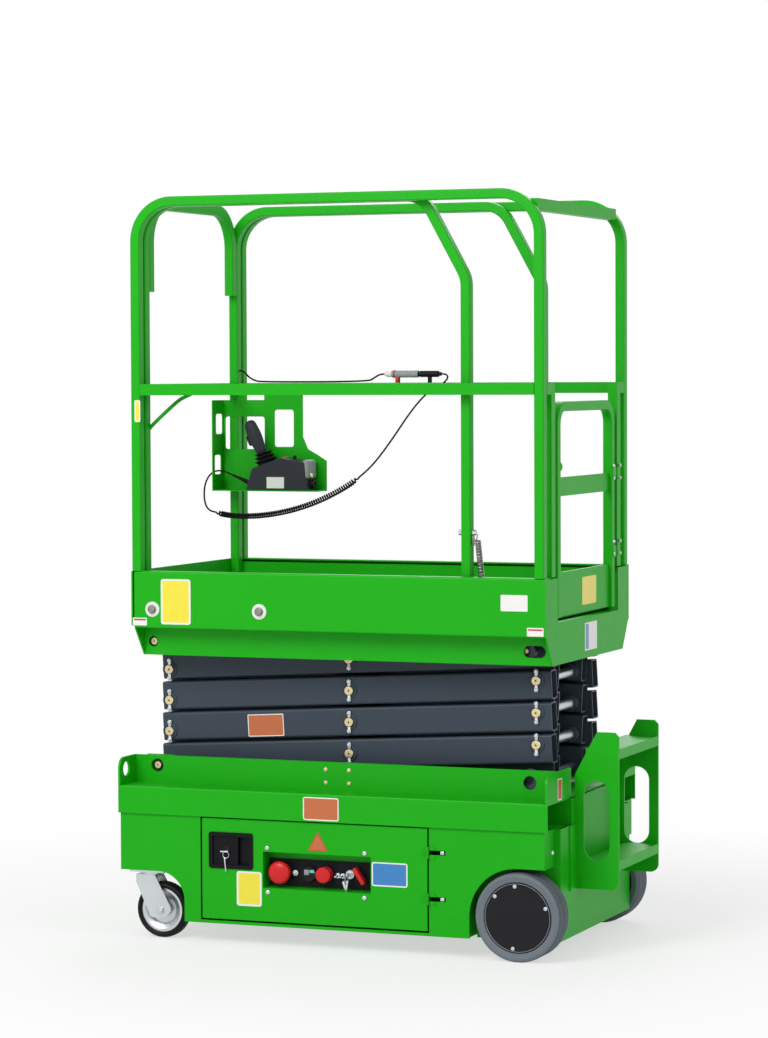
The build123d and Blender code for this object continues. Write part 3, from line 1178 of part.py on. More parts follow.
with BuildPart() as control_coil:
    add(cord_tube(COIL_ROUTE, COIL_RADIUS, "curly coil"))
save(control_coil.part, "control_coil")

with BuildPart() as rail_cable:
    add(cord_tube(RAIL_CABLE_ROUTE, LEAD_RADIUS, "rail cable"))
save(rail_cable.part, "rail_cable")

RELIEF_LENGTH = 52.0
RELIEF_FOOT_RADIUS = 7.0
RELIEF_TIP_RADIUS = 3.6
RELIEF_RIBS = 6
# Connector along -X from the plug's cord end: (length, radius)
CONNECTOR_STEPS = ((8, 5.5), (54, 9), (6, 7.5), (78, 9), (4, 7.5), (17, 5))
with BuildPart() as cord_fittings:
    # Ribbed strain relief on the control box's end
    relief_tip = Vector(*LEAD_START_ROUTE[0])
    relief_line = (Vector(*LEAD_START_ROUTE[1]) - relief_tip).normalized()
    relief_foot = relief_tip - relief_line * RELIEF_LENGTH
    relief_profile = [(0, 0), (RELIEF_FOOT_RADIUS, 0)]
    rib = RELIEF_LENGTH / (2 * RELIEF_RIBS)
    for index in range(1, 2 * RELIEF_RIBS):
        taper = RELIEF_FOOT_RADIUS + (RELIEF_TIP_RADIUS - RELIEF_FOOT_RADIUS) * index / (2 * RELIEF_RIBS)
        relief_profile.append((taper if index % 2 else taper - 0.9, index * rib))
    relief_profile += [(RELIEF_TIP_RADIUS, RELIEF_LENGTH), (0, RELIEF_LENGTH)]
    add(turned(relief_profile, relief_foot, relief_line))
    end_slope = BOX_END_HIGH - BOX_END_LOW
    end_normal = Vector(-end_slope.Y, end_slope.X).normalized()
    collar = (Vector(relief_foot.X, relief_foot.Z) - BOX_END_LOW).dot(end_normal)
    collar_plane = Plane(origin=relief_foot, z_dir=(-end_normal.X, 0, -end_normal.Y))
    with BuildSketch(collar_plane):
        Circle(RELIEF_FOOT_RADIUS + 2)
    extrude(amount=collar)
    # Plug and socket above the far mid rail, on two feet
    end_x, end_y, end_z = LEAD_END_ROUTE[-1]
    for length, radius in CONNECTOR_STEPS:
        with Locations((end_x - length / 2, end_y, end_z)):
            Cylinder(radius, length, rotation=(0, 90, 0))
        end_x -= length
    for foot_x in (-125, -30):
        slab((foot_x - 5, foot_x + 5), (end_y - 4, end_y + 4), (MID_RAIL_TOP_Z, end_z))
save(cord_fittings.part, "cord_fittings")
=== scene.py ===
# %% [markdown]
# # A compact scissor lift
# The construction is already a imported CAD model. This script loads it as a fixed frame, gives every
# part its finish, and adds the small things that CAD leaves out: pin heads, bolts, blank plates,
# tyre tread, buttons and the curly cord. Everything is in metres, in the model's own frame:
# +X is the ladder end, -Y the side with the ground controls, +Z up.

# %% Load the frame
import json
import math

import bpy
from mathutils import Matrix, Vector


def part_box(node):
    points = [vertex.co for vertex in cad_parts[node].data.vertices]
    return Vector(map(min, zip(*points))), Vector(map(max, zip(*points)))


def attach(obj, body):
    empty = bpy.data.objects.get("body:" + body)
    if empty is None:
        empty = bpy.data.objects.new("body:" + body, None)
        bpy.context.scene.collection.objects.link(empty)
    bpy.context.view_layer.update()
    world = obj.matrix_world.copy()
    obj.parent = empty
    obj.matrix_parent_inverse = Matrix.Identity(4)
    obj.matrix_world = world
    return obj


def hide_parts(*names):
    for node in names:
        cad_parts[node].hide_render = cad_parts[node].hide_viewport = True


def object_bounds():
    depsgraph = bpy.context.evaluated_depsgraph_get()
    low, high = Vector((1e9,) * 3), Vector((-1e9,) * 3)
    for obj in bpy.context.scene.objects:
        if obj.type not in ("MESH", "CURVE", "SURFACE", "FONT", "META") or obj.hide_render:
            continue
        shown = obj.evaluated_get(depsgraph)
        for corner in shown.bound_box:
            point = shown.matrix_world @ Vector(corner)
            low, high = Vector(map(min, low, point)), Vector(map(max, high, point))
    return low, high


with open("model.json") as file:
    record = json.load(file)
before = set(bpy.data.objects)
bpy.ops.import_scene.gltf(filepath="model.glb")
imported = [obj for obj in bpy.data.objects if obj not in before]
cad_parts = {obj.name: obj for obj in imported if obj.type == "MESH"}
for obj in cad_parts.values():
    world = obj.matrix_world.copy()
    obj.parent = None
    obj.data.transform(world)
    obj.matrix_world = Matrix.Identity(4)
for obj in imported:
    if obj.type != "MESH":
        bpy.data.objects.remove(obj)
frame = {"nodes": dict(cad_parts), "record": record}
cad_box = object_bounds()
nodes = frame["nodes"]
link = bpy.context.scene.collection.objects.link

# %% [markdown]
# ## Camera
# A long lens from far away keeps uprights parallel. The camera could be aimed with a Track To
# constraint, but a plain rotation from three angles is easier to read and adds no hidden object.

# %% The camera
CAMERA_PLACE = Vector((3.3277, -8.5484, 1.5111))
CAMERA_YAW = math.radians(21.56)
CAMERA_PITCH = math.radians(-2.46)
CAMERA_ROLL = math.radians(-0.23)
LENS_MM = 117.9

camera_data = bpy.data.cameras.new("camera")
camera_data.lens = LENS_MM
camera_data.sensor_width = 36.0
camera = bpy.data.objects.new("camera", camera_data)
link(camera)
turn = (
    Matrix.Rotation(CAMERA_YAW, 4, "Z")
    @ Matrix.Rotation(math.radians(90) + CAMERA_PITCH, 4, "X")
    @ Matrix.Rotation(CAMERA_ROLL, 4, "Z")
)
camera.matrix_world = Matrix.Translation(CAMERA_PLACE) @ turn
bpy.context.scene.camera = camera
print("camera looks along", tuple(round(v, 3) for v in turn.col[2][:3]))

# %% [markdown]
# ## Writing shader maths as expressions
# A material is a graph of nodes. Wiring it by hand takes many lines, so one small class wraps a
# socket: adding or multiplying wrapped sockets adds the Math node that does it.

# %% Sockets that can be added and multiplied
class Wire:
    def __init__(self, sheet, socket):
        self.sheet = sheet
        self.socket = socket

    def maths(self, operation, *values):
        return self.sheet.node("ShaderNodeMath", {"operation": operation}, dict(enumerate(values)))

    def __add__(self, other):
        return self.maths("ADD", self, other)

    def __mul__(self, other):
        return self.maths("MULTIPLY", self, other)

    def __sub__(self, other):
        return self.maths("SUBTRACT", self, other)

    def __gt__(self, other):
        return self.maths("GREATER_THAN", self, other)

    def clamped(self):
        return self.sheet.node("ShaderNodeClamp", {}, {"Value": self})


class Sheet:
    # One material and the nodes on it

    def __init__(self, name):
        self.material = bpy.data.materials.new(name)
        self.material.use_nodes = True
        self.tree = self.material.node_tree
        self.tree.nodes.clear()
        self.shader = self.tree.nodes.new("ShaderNodeBsdfPrincipled")
        self.output = self.tree.nodes.new("ShaderNodeOutputMaterial")
        self.tree.links.new(self.shader.outputs[0], self.output.inputs["Surface"])

    def put(self, node, inputs):
        for key, value in inputs.items():
            if isinstance(value, Wire):
                self.tree.links.new(value.socket, node.inputs[key])
            else:
                node.inputs[key].default_value = value

    def node(self, kind, settings, inputs, output=0):
        made = self.tree.nodes.new(kind)
        for key, value in settings.items():
            setattr(made, key, value)
        self.put(made, inputs)
        return Wire(self, made.outputs[output])

    def set(self, **inputs):
        for key, value in inputs.items():
            self.put(self.shader, {key.replace("_", " ").replace("Colour", "Color"): value})

    def place(self):
        return self.node("ShaderNodeTexCoord", {}, {}, "Object")

    def noise(self, scale, detail=3.0, roughness=0.5):
        inputs = {"Vector": self.place(), "Scale": scale, "Detail": detail, "Roughness": roughness}
        return self.node("ShaderNodeTexNoise", {}, inputs)

    def mix_colour(self, factor, first, second):
        inputs = {0: factor, 6: first, 7: second}
        return self.node("ShaderNodeMix", {"data_type": "RGBA"}, inputs, 2)

    def bump(self, height, strength, distance):
        inputs = {"Height": height, "Strength": strength, "Distance": distance}
        return self.node("ShaderNodeBump", {}, inputs)


def shade(colour, factor):
    return tuple(channel * factor for channel in colour[:3]) + (1.0,)


print("shader helpers ready")

# %% [markdown]
# ## Powder coat
# Powder coat is one even colour with a faint orange-peel skin. The peel is fine noise in the bump.
# A second, larger noise shifts colour and gloss by a few percent, as handling and dust do.

# %% Painted steel
GREEN = (0.006, 0.385, 0.002, 1.0)
ARM_GREY = (0.042, 0.056, 0.078, 1.0)


def painted(name, colour, roughness, peel=0.12):
    sheet = Sheet(name)
    cloud = sheet.noise(3.0, 4.0)
    dust = sheet.noise(28.0, 5.0, 0.65)
    skin = sheet.noise(900.0, 2.0)
    base = sheet.mix_colour(cloud, shade(colour, 0.94), shade(colour, 1.06))
    sheet.set(Base_Colour=base, Roughness=dust * 0.14 + (roughness - 0.07))
    sheet.set(Normal=sheet.bump(skin, peel, 0.0004), Specular_IOR_Level=0.22)
    return sheet.material


green_paint = painted("green_paint", GREEN, 0.42)
arm_paint = painted("arm_paint", ARM_GREY, 0.38)
print("paints:", green_paint.name, arm_paint.name)

# %% Rubber, plastic and metal
def grained(name, colour, roughness, grain, patches, spread, swing, relief, **constants):
    # Fine grain moves the gloss and the bump, slow patches move the colour
    sheet = Sheet(name)
    skin = sheet.noise(*grain)
    slow = sheet.noise(*patches)
    base = sheet.mix_colour(slow, shade(colour, spread[0]), shade(colour, spread[1]))
    sheet.set(Base_Colour=base, Roughness=skin * swing + (roughness - swing / 2))
    sheet.set(Normal=sheet.bump(skin, *relief), **constants)
    return sheet.material


def rubber(name, colour, roughness, gloss=0.3):
    looks = ((260.0, 4.0, 0.7), (9.0, 4.0), (0.85, 1.15), 0.2, (0.25, 0.0006))
    return grained(name, colour, roughness, *looks, Specular_IOR_Level=gloss)


def moulded(name, colour, roughness, grain_size=1400.0, gloss=0.3):
    looks = ((grain_size, 3.0, 0.6), (12.0, 3.0), (0.9, 1.12), 0.16, (0.18, 0.0003))
    return grained(name, colour, roughness, *looks, Specular_IOR_Level=gloss)


def metal(name, colour, roughness, relief=0.1):
    looks = ((160.0, 5.0, 0.7), (14.0, 3.0), (0.88, 1.08), 0.18, (relief, 0.0003))
    return grained(name, colour, roughness, *looks, Metallic=1.0)


grey_tyre = rubber("grey_tyre", (0.15, 0.175, 0.205), 0.72)
black_tyre = rubber("black_tyre", (0.008, 0.008, 0.009), 0.5, gloss=0.12)
black_plastic = moulded("black_plastic", (0.006, 0.006, 0.008), 0.42, gloss=0.12)
charcoal_plastic = moulded("charcoal_plastic", (0.032, 0.033, 0.043), 0.42, gloss=0.15)
zinc_steel = metal("zinc_steel", (0.62, 0.65, 0.67), 0.34)
chrome_rod = metal("chrome_rod", (0.82, 0.83, 0.85), 0.14, 0.03)
bare_steel = metal("bare_steel", (0.45, 0.46, 0.48), 0.4)
cord_rubber = rubber("cord_rubber", (0.008, 0.008, 0.009), 0.55, gloss=0.08)
print("materials:", len(bpy.data.materials))

# %% [markdown]
# ## Painted groove shade on the drive tyres
# The tread blocks added later stand on a darker band: painted shade for the grooves between them.
# The band is chosen by the distance from the axle: only the running surface, furthest from the
# axle, is darkened.

# %% Tyre with painted groove shade on its running surface
AXLE_X = 0.4615
AXLE_Z = 0.115
RUNNING_RADIUS = 0.1138
grooved = Sheet("grooved_tyre")
apart = grooved.node("ShaderNodeSeparateXYZ", {}, {0: grooved.place()}, 0)
across = apart - AXLE_X
height = grooved.node("ShaderNodeSeparateXYZ", {}, {0: grooved.place()}, 2) - AXLE_Z
# The running surface is darkened as painted shade for the grooves between the tread blocks
running = (across * across + height * height) > RUNNING_RADIUS * RUNNING_RADIUS
tyre_dust = grooved.noise(9.0, 4.0)
side_colour = grooved.mix_colour(tyre_dust, (0.128, 0.15, 0.175, 1.0), (0.172, 0.2, 0.235, 1.0))
tyre_colour_with_groove_shade = grooved.mix_colour(running, side_colour, (0.045, 0.052, 0.062, 1.0))
grooved.set(Base_Colour=tyre_colour_with_groove_shade, Roughness=0.75, Specular_IOR_Level=0.3)
print("running surface beyond", RUNNING_RADIUS, "m from the axle")

# %% Finishes of the CAD nodes
CAD_FINISHES = (
    green_paint, arm_paint, grey_tyre, black_tyre, black_plastic, zinc_steel, chrome_rod,
    bare_steel, cord_rubber,
)
# The names are taken, so Blender adds .001
FINISHES = {finish.name.split(".")[0]: finish for finish in CAD_FINISHES}
for part in frame["record"]["subparts"]:
    finish = FINISHES[part["material_slot"]]
    node = nodes[part["node"]]
    node.data.materials.clear()
    if finish == grey_tyre:
        finish = grooved.material
    if part["node"] in ("control_box", "joystick"):
        finish = charcoal_plastic
    node.data.materials.append(finish)

# %% [markdown]
# ## Modelling by hand, in code
# Every small piece starts as a primitive at its own place, turned so that its Z axis points out of
# the surface it sits on. Edit mode operators then shape it, as a modeller would with the mouse.
# A short helper opens a piece, and another closes it: it makes the normals point outwards, puts the
# place into the mesh, so that patterns on Object coordinates stay put, and says what it rides on.

# %% Opening and closing a piece
UP = Vector((0, 0, 1))
NEAR = Vector((0, -1, 0))
FAR = Vector((0, 1, 0))
REAR = Vector((1, 0, 0))
SMOOTH_ANGLE = math.radians(35)


def at(x, y, z):
    # A place written in millimetres, in metres
    return Vector((x, y, z)) / 1000


def facing(out):
    return out.to_track_quat("Z", "Y").to_euler()


def begin(shape, name, place, out=UP, **settings):
    bpy.ops.object.select_all(action="DESELECT")
    add_primitive = getattr(bpy.ops.mesh, f"primitive_{shape}_add")
    add_primitive(location=place, rotation=facing(out), **settings)
    piece = bpy.context.object
    piece.name = name
    bpy.ops.object.mode_set(mode="EDIT")
    return piece


def close(piece, body, *materials):
    if piece.mode != "EDIT":
        bpy.ops.object.mode_set(mode="EDIT")
    bpy.ops.mesh.select_all(action="SELECT")
    bpy.ops.mesh.normals_make_consistent(inside=False)
    bpy.ops.object.mode_set(mode="OBJECT")
    bpy.ops.object.transform_apply(location=True, rotation=True, scale=True)
    bpy.ops.object.shade_smooth_by_angle(angle=SMOOTH_ANGLE)
    for material in materials:
        piece.data.materials.append(material)
    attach(piece, body)
    return piece


def copy_of(piece, name, body, move):
    # A repeat with its own mesh, moved by a matrix
    repeat = bpy.data.objects.new(name, piece.data.copy())
    link(repeat)
    repeat.data.transform(move)
    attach(repeat, body)
    return repeat


def joined(pieces, name):
    # Several meshes made one object
    bpy.ops.object.select_all(action="DESELECT")
    for piece in pieces:
        piece.select_set(True)
    bpy.context.view_layer.objects.active = pieces[0]
    bpy.ops.object.join()
    whole = bpy.context.object
    whole.name = name
    return whole


print("modelling helpers ready")

# %% [markdown]
# ## Round pieces and plates
# A bolt, knob or pin head is a disc that is extruded and resized step by step, as on a lathe. A
# label is a plane whose corners are bevelled before it is extruded, and whose border is an inset.

# %% Stepped round pieces, plates and blocks
def round_piece(name, base, out, outline, body, *materials, sides=24):
    # outline: (radius, height above the base) in millimetres, from the bottom up
    radius, height = outline[0]
    foot = base + out * (height / 1000)
    piece = begin("circle", name, foot, out, vertices=sides, radius=radius / 1000, fill_type="NGON")
    for (radius, height), (next_radius, next_height) in zip(outline, outline[1:]):
        rise = out * ((next_height - height) / 1000)
        bpy.ops.mesh.extrude_region_move(TRANSFORM_OT_translate={"value": rise})
        centre = base + out * (next_height / 1000)
        bpy.ops.transform.resize(value=(next_radius / radius,) * 3, center_override=centre)
    return close(piece, body, *materials)


def block(name, low, high, body, *materials, edge=1.0, segments=2):
    # A block between two corners in millimetres, with rounded edges
    middle = at(*((a + b) / 2 for a, b in zip(low, high)))
    piece = begin("cube", name, middle, size=1.0)
    bpy.ops.transform.resize(value=tuple((b - a) / 1000 for a, b in zip(low, high)))
    bpy.ops.mesh.bevel(offset=edge / 1000, segments=segments, affect="EDGES")
    return close(piece, body, *materials)


def smooth_line(name, places, radius=0.0, sides=3):
    # A smooth curve in metres, round when it has a radius
    curve = bpy.data.curves.new(name, "CURVE")
    curve.dimensions = "3D"
    curve.bevel_depth = radius
    curve.bevel_resolution = sides
    curve.use_fill_caps = True
    line = curve.splines.new("NURBS")
    line.points.add(len(places) - 1)
    for point, place in zip(line.points, places):
        point.co = (*place, 1.0)
    line.order_u = 3
    line.use_endpoint_u = True
    made = bpy.data.objects.new(name, curve)
    link(made)
    return made


def rod(name, route, radius, body, *materials, sides=3):
    # A bent rod through a few points in millimetres, made a mesh
    piece = smooth_line(name, [at(*place) for place in route], radius / 1000, sides)
    bpy.ops.object.select_all(action="DESELECT")
    piece.select_set(True)
    bpy.context.view_layer.objects.active = piece
    bpy.ops.object.convert(target="MESH")
    return close(bpy.context.object, body, *materials)


print("piece makers ready")

# %% Finishes of the small pieces
brass = metal("brass", (0.72, 0.6, 0.36), 0.36)
red_plastic = moulded("red_plastic", (0.62, 0.012, 0.016), 0.3, 900.0)
white_plastic = moulded("white_plastic", (0.78, 0.78, 0.76), 0.4)
grey_plastic = moulded("grey_plastic", (0.3, 0.31, 0.33), 0.45)
satin_black = moulded("satin_black", (0.012, 0.012, 0.014), 0.34, gloss=0.15)
worn_steel = metal("worn_steel", (0.3, 0.29, 0.27), 0.36)
cyan_glass = moulded("cyan_glass", (0.15, 0.62, 0.5), 0.15)


def printed(name, colour):
    # Ink under a clear film: faint mottling and a soft gloss
    mottle = (90.0, 4.0, 0.6)
    looks = (mottle, mottle, (0.95, 1.05), 0.12, (0.05, 0.0002))
    return grained(name, colour, 0.34, *looks, Coat_Weight=0.2)


label_white = printed("label_white", (0.8, 0.8, 0.78))
label_yellow = printed("label_yellow", (0.82, 0.7, 0.04))
label_orange = printed("label_orange", (0.52, 0.13, 0.035))
label_blue = printed("label_blue", (0.03, 0.2, 0.52))
label_red = printed("label_red", (0.55, 0.02, 0.02))
print("small finishes:", len(bpy.data.materials))

# %% [markdown]
# ## The control lead
# A curly lead joins the control box to a plug on the mid rail. It leaves the box through a ribbed
# relief, turns down, runs along in a sagging coil and climbs to the plug. It could be a bent tube
# with a texture of turns, but its turns show against the sky, so they are real. The route is one
# smooth spline, and where the lead is curled, more points of that spline wind round the route.

# %% Route points, in millimetres
LEAD_START = (
    (-597, 228, 1224), (-615, 228, 1231.5), (-636, 231, 1237), (-657, 237, 1236),
    (-675, 240, 1226), (-686, 239, 1209), (-690, 234, 1189), (-688, 227, 1168),
    (-683, 220, 1148), (-674, 214, 1133), (-662, 209, 1124), (-648, 206, 1121),
)
COIL_ROUTE = (
    (-648, 206, 1121), (-620, 200, 1115), (-587, 197, 1111), (-547, 196, 1110),
    (-505, 196, 1112), (-463, 196, 1117), (-421, 197, 1125), (-379, 198, 1136),
    (-338, 199.5, 1150), (-298, 202, 1167), (-259, 205, 1187), (-226, 209, 1207),
    (-204, 213, 1225),
)
LEAD_END = (
    (-204, 213, 1225), (-193, 215, 1234), (-174, 219, 1252), (-152, 226, 1279),
    (-129, 234, 1312), (-106, 243, 1347), (-82, 252.5, 1386), (-58, 261, 1420),
    (-34, 268, 1448), (-11, 273, 1466), (10, 276, 1474), (24, 278, 1487),
    (28, 284, 1494), (27, 291, 1500), (22, 297, 1505), (14, 301, 1508), (4, 301, 1508),
)
RAIL_CABLE = (
    (-165, 301, 1508), (-179, 301, 1508), (-196, 301, 1498), (-214, 301, 1487),
    (-540, 301, 1487), (-562, 301, 1491), (-579, 301, 1500), (-590, 301, 1512),
    (-599, 301, 1519), (-608.5, 301, 1519),
)
LEAD_DIAMETER = 0.005
print("route points:", len(LEAD_START) + len(COIL_ROUTE) + len(LEAD_END))

# %% Measuring along a route
def points_along(places):
    # The spline read back as close points, with no thickness
    guide = smooth_line("guide", places)
    mesh = bpy.data.meshes.new_from_object(guide)
    points = [vertex.co.copy() for vertex in mesh.vertices]
    bpy.data.objects.remove(guide)
    return points


def run_length(points):
    return sum((b - a).length for a, b in zip(points, points[1:]))


lead_start = [at(*place) for place in LEAD_START]
lead_end = [at(*place) for place in LEAD_END]
coil_line = points_along([at(*place) for place in COIL_ROUTE])
print("coiled run:", round(run_length(coil_line), 4), "m")

# %% Turns of the coil
COIL_PITCH = 0.007
COIL_MIDDLE_RADIUS = 0.0064
POINTS_PER_TURN = 12
COIL_RAMP = 0.03


def wound_round(line, pitch, radius):
    # Turning and radius start from nothing, so the lead runs into the coil
    total = run_length(line)
    steps = round(total / pitch) * POINTS_PER_TURN
    side = UP.copy()
    wound = []
    index, passed, angle = 0, 0.0, 0.0
    for step in range(1, steps):
        travelled = total * step / steps
        while passed + (line[index + 1] - line[index]).length < travelled:
            passed += (line[index + 1] - line[index]).length
            index += 1
        along = (line[index + 1] - line[index]).normalized()
        side = (side - along * side.dot(along)).normalized()
        centre = line[index] + along * (travelled - passed)
        ramp = min(1.0, travelled / COIL_RAMP, (total - travelled) / COIL_RAMP)
        angle += ramp * 2 * math.pi / POINTS_PER_TURN
        turned = side * math.cos(angle) + along.cross(side) * math.sin(angle)
        wound.append(centre + turned * radius * (1 - math.cos(math.pi * ramp)) / 2)
    return wound, angle / (2 * math.pi)


coil_points, coil_turns = wound_round(coil_line, COIL_PITCH, COIL_MIDDLE_RADIUS)
cord_route = lead_start[:-1] + coil_points + lead_end[1:]
control_cord = smooth_line("control_cord", cord_route, LEAD_DIAMETER / 2)
control_cord.data.splines[0].resolution_u = 2
control_cord.data.resolution_u = 2
cord_length = run_length(points_along(cord_route))
print("turns:", round(coil_turns, 1), "cord length:", round(cord_length, 3), "m")

# %% The cords on their body
control_cord.data.materials.append(cord_rubber)
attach(control_cord, "extension")
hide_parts("control_lead", "control_coil")
rail_route = [at(*place) for place in RAIL_CABLE]
rail_cable = smooth_line("rail_cable_run", rail_route, LEAD_DIAMETER / 2)
rail_cable.data.materials.append(cord_rubber)
rail_length = run_length(points_along(rail_route))
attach(rail_cable, "extension")
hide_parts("rail_cable")
print("rail cable:", round(rail_length, 3), "m")

# %% [markdown]
# ## Wheels
# The drive wheels are solid tyres on a flat black cap, held by four bolts near its edge. The tyre
# wears a band of small tread blocks at each shoulder. One block is modelled, copied round the
# wheel and joined, so the band is one piece with real gaps that show against the light.

# %% Turning about an axle
def about(centre, axis, angle):
    return Matrix.Translation(centre) @ Matrix.Rotation(angle, 4, axis) @ Matrix.Translation(
        -centre,
    )


def centre_of(node):
    low, high = (Vector(corner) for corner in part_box(node))
    return (low + high) / 2


SIDES = (("near", NEAR), ("far", FAR))
BLOCKS_AROUND = 132
BLOCK_ROWS = (-17.5, 17.5)
BLOCK_SIZE = (3.3, 31.0, 1.4)
TYRE_RADIUS = 115.0
BLOCK_SINK = 0.45

for side, _ in SIDES:
    body = f"drive_wheel_{side}"
    axle = centre_of(f"drive_tyre_{side}")
    blocks = []
    for row in BLOCK_ROWS:
        top = axle + Vector((0, row / 1000, (TYRE_RADIUS - BLOCK_SINK) / 1000))
        low = top * 1000 - Vector(BLOCK_SIZE) / 2
        high = low + Vector(BLOCK_SIZE)
        first = block("tread_block", low, high, body, grey_tyre, edge=0.3, segments=1)
        blocks.append(first)
        for index in range(1, BLOCKS_AROUND):
            turn = about(axle, "Y", 2 * math.pi * index / BLOCKS_AROUND)
            blocks.append(copy_of(first, "tread_block", body, turn))
    band = joined(blocks, f"tread_{side}")
print("tread blocks on each wheel:", BLOCKS_AROUND * len(BLOCK_ROWS))

# %% Cap and bolts of each drive wheel
CAP_OUTLINE = (
    (91.0, 30.0), (91.6, 36.2), (90.6, 37.2), (88.4, 37.2), (87.4, 36.2),
    (86.0, 36.0), (40.0, 36.8), (2.0, 37.0),
)
CAP_BOLT_RADIUS = 81.0
CAP_BOLT_ANGLES = (95, 139, 20, 261)
CAP_BOLT_SEAT = 0.0364
CAP_LINE_SEAT = 0.0372
CAP_LINE_RADIUS = 0.0878
CAP_LINE_WIRE = 0.0005
BOLT_OUTLINE = ((5.2, 0.0), (5.2, 0.9), (4.0, 1.0), (4.0, 2.6), (3.4, 3.2), (0.8, 3.4))

for side, out in SIDES:
    body = f"drive_wheel_{side}"
    axle = centre_of(f"drive_tyre_{side}")
    cap = round_piece(f"wheel_cap_{side}", axle, out, CAP_OUTLINE, body, satin_black, sides=96)
    seat = axle + out * CAP_BOLT_SEAT + UP * (CAP_BOLT_RADIUS / 1000)
    bolts = []
    for angle in CAP_BOLT_ANGLES:
        bolt = round_piece("cap_bolt", seat, out, BOLT_OUTLINE, body, zinc_steel, sides=12)
        bolt.data.transform(about(axle, "Y", math.radians(90 - angle)))
        bolts.append(bolt)
    joined(bolts, f"cap_bolts_{side}")
    line = begin(
        "torus", f"cap_line_{side}", axle + out * CAP_LINE_SEAT, out, major_radius=CAP_LINE_RADIUS,
        minor_radius=CAP_LINE_WIRE, major_segments=96, minor_segments=6,
    )
    close(line, body, zinc_steel)
print("wheel caps:", [side for side, _ in SIDES])

# %% Caster axle bolts and nuts
AXLE_BOLT = (
    (11, 0.0), (11, 1.6), (8.6, 1.7), (8.6, 5.6), (7.4, 7.0), (4.6, 7.2), (4.2, 6.4), (1.0, 6.4),
)
CASTER_AXLE_X = -0.5615
CASTER_AXLE_Z = 0.075
for side, out in SIDES:
    low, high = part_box(f"caster_fork_{side}")
    outer, inner = (low[1], high[1]) if side == "near" else (high[1], low[1])
    for kind, y, way, corners in (("bolt", outer, out, 24), ("nut", inner, -out, 6)):
        seat = Vector((CASTER_AXLE_X, y, CASTER_AXLE_Z))
        name = f"caster_{kind}_{side}"
        round_piece(name, seat, way, AXLE_BOLT, f"caster_{side}", zinc_steel, sides=corners)
print("caster bolts ready")

# %% [markdown]
# ## Pin heads on the scissor arms
# Each pin ends in a brass-coloured head with a grease hole, inside a dark collar. A narrow zinc
# keeper strap crosses behind the head, and a bolt at each end holds it. They are modelled once, at
# the first pin, and every pin gets copies that ride its own arm.

# %% Pin places, from the joints of the frame
joint_rows = frame["record"]["behaviour"]["joints"]
joints = {row["name"]: Vector(row["pos_m"]) for row in joint_rows if "pos_m" in row}
ARM_FACE_Y = -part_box("outer_arms_2")[0][1] - 0.006
LEVELS = 4
pin_places = []
for level in range(1, LEVELS + 1):
    middle = joints[f"cross_{level}"]
    pin_places.append((f"outer_{level}", middle))
    low_pin = joints["lift"] if level == 1 else joints[f"joint_{level - 1}"]
    if level > 1:
        pin_places.append((f"outer_{level}", low_pin))
    if level < LEVELS:
        pin_places.append((f"outer_{level}", 2 * middle - low_pin))
print("pins on each side:", len(pin_places), "arm face at", round(ARM_FACE_Y, 4))

# %% One pin head with its keeper
HEAD_OUTLINE = (
    (12.2, 2.0), (12.2, 7.6), (11.4, 8.4), (7.0, 8.6), (6.6, 8.2), (3.4, 8.2), (2.6, 8.8),
    (0.6, 8.8),
)
COLLAR_OUTLINE = (
    (21.0, 0.0), (21.0, 2.2), (19.5, 3.2), (17.6, 3.2), (17.2, 2.4), (13.4, 2.4), (12.6, 3.0),
    (12.3, 3.0),
)
STRAP_HALF_LENGTH = 26.5
STRAP_HALF_WIDTH = 4.0
STRAP_THICKNESS = 3.0
KEEPER_BOLT = ((6.4, 0.0), (6.4, 1.0), (5.2, 1.1), (5.2, 4.2), (4.2, 5.0), (1.0, 5.1))
KEEPER_BOLT_HEIGHT = 24.0

first_body, first_place = pin_places[0]
pin_face = Vector((first_place.x, -ARM_FACE_Y, first_place.z))
collar = round_piece("pin_collar", pin_face, NEAR, COLLAR_OUTLINE, first_body, arm_paint, sides=36)
head = round_piece("pin_head", pin_face, NEAR, HEAD_OUTLINE, first_body, brass, sides=36)
foot = pin_face * 1000
keeper_parts = []
for up in (-1, 1):
    low_z, high_z = sorted((foot.z + up * 12.5, foot.z + up * STRAP_HALF_LENGTH))
    strap = block(
        "keeper_strap",
        (foot.x - STRAP_HALF_WIDTH, foot.y - 2.4 - STRAP_THICKNESS, low_z),
        (foot.x + STRAP_HALF_WIDTH, foot.y - 0.2, high_z),
        first_body,
        zinc_steel,
        edge=0.8,
    )
    bolt_foot = pin_face + UP * (up * KEEPER_BOLT_HEIGHT / 1000) + NEAR * 0.005
    keeper_parts += [
        strap,
        round_piece("keeper_bolt", bolt_foot, NEAR, KEEPER_BOLT, first_body, zinc_steel, sides=6),
    ]
keeper = joined(keeper_parts, "pin_keeper")
hole = round_piece(
    "grease_hole", pin_face + NEAR * 0.0085, NEAR, ((2.3, 0.0), (2.3, 0.6), (1.2, 0.3)), first_body,
    satin_black, sides=12,
)
pin_set = {
    "collar": (collar, "arm_paint"), "head": (head, "zinc_steel"), "keeper": (keeper, "zinc_steel"),
    "hole": (hole, "black_plastic"),
}
print("pin set:", sorted(pin_set))

# %% Copies at every pin, near and far
def turned_to(side):
    return Matrix.Identity(4) if side == "near" else Matrix.Rotation(math.pi, 4, "Z")


for side, out in SIDES:
    for index, (body, place) in enumerate(pin_places):
        here = Vector((place.x, out.y * ARM_FACE_Y, place.z))
        move = Matrix.Translation(here) @ turned_to(side) @ Matrix.Translation(-pin_face)
        for kind, (piece, slot) in pin_set.items():
            repeat = copy_of(piece, f"pin_{kind}_{side}_{index}", body, move)
print("pin pieces:", 2 * len(pin_places) * len(pin_set))

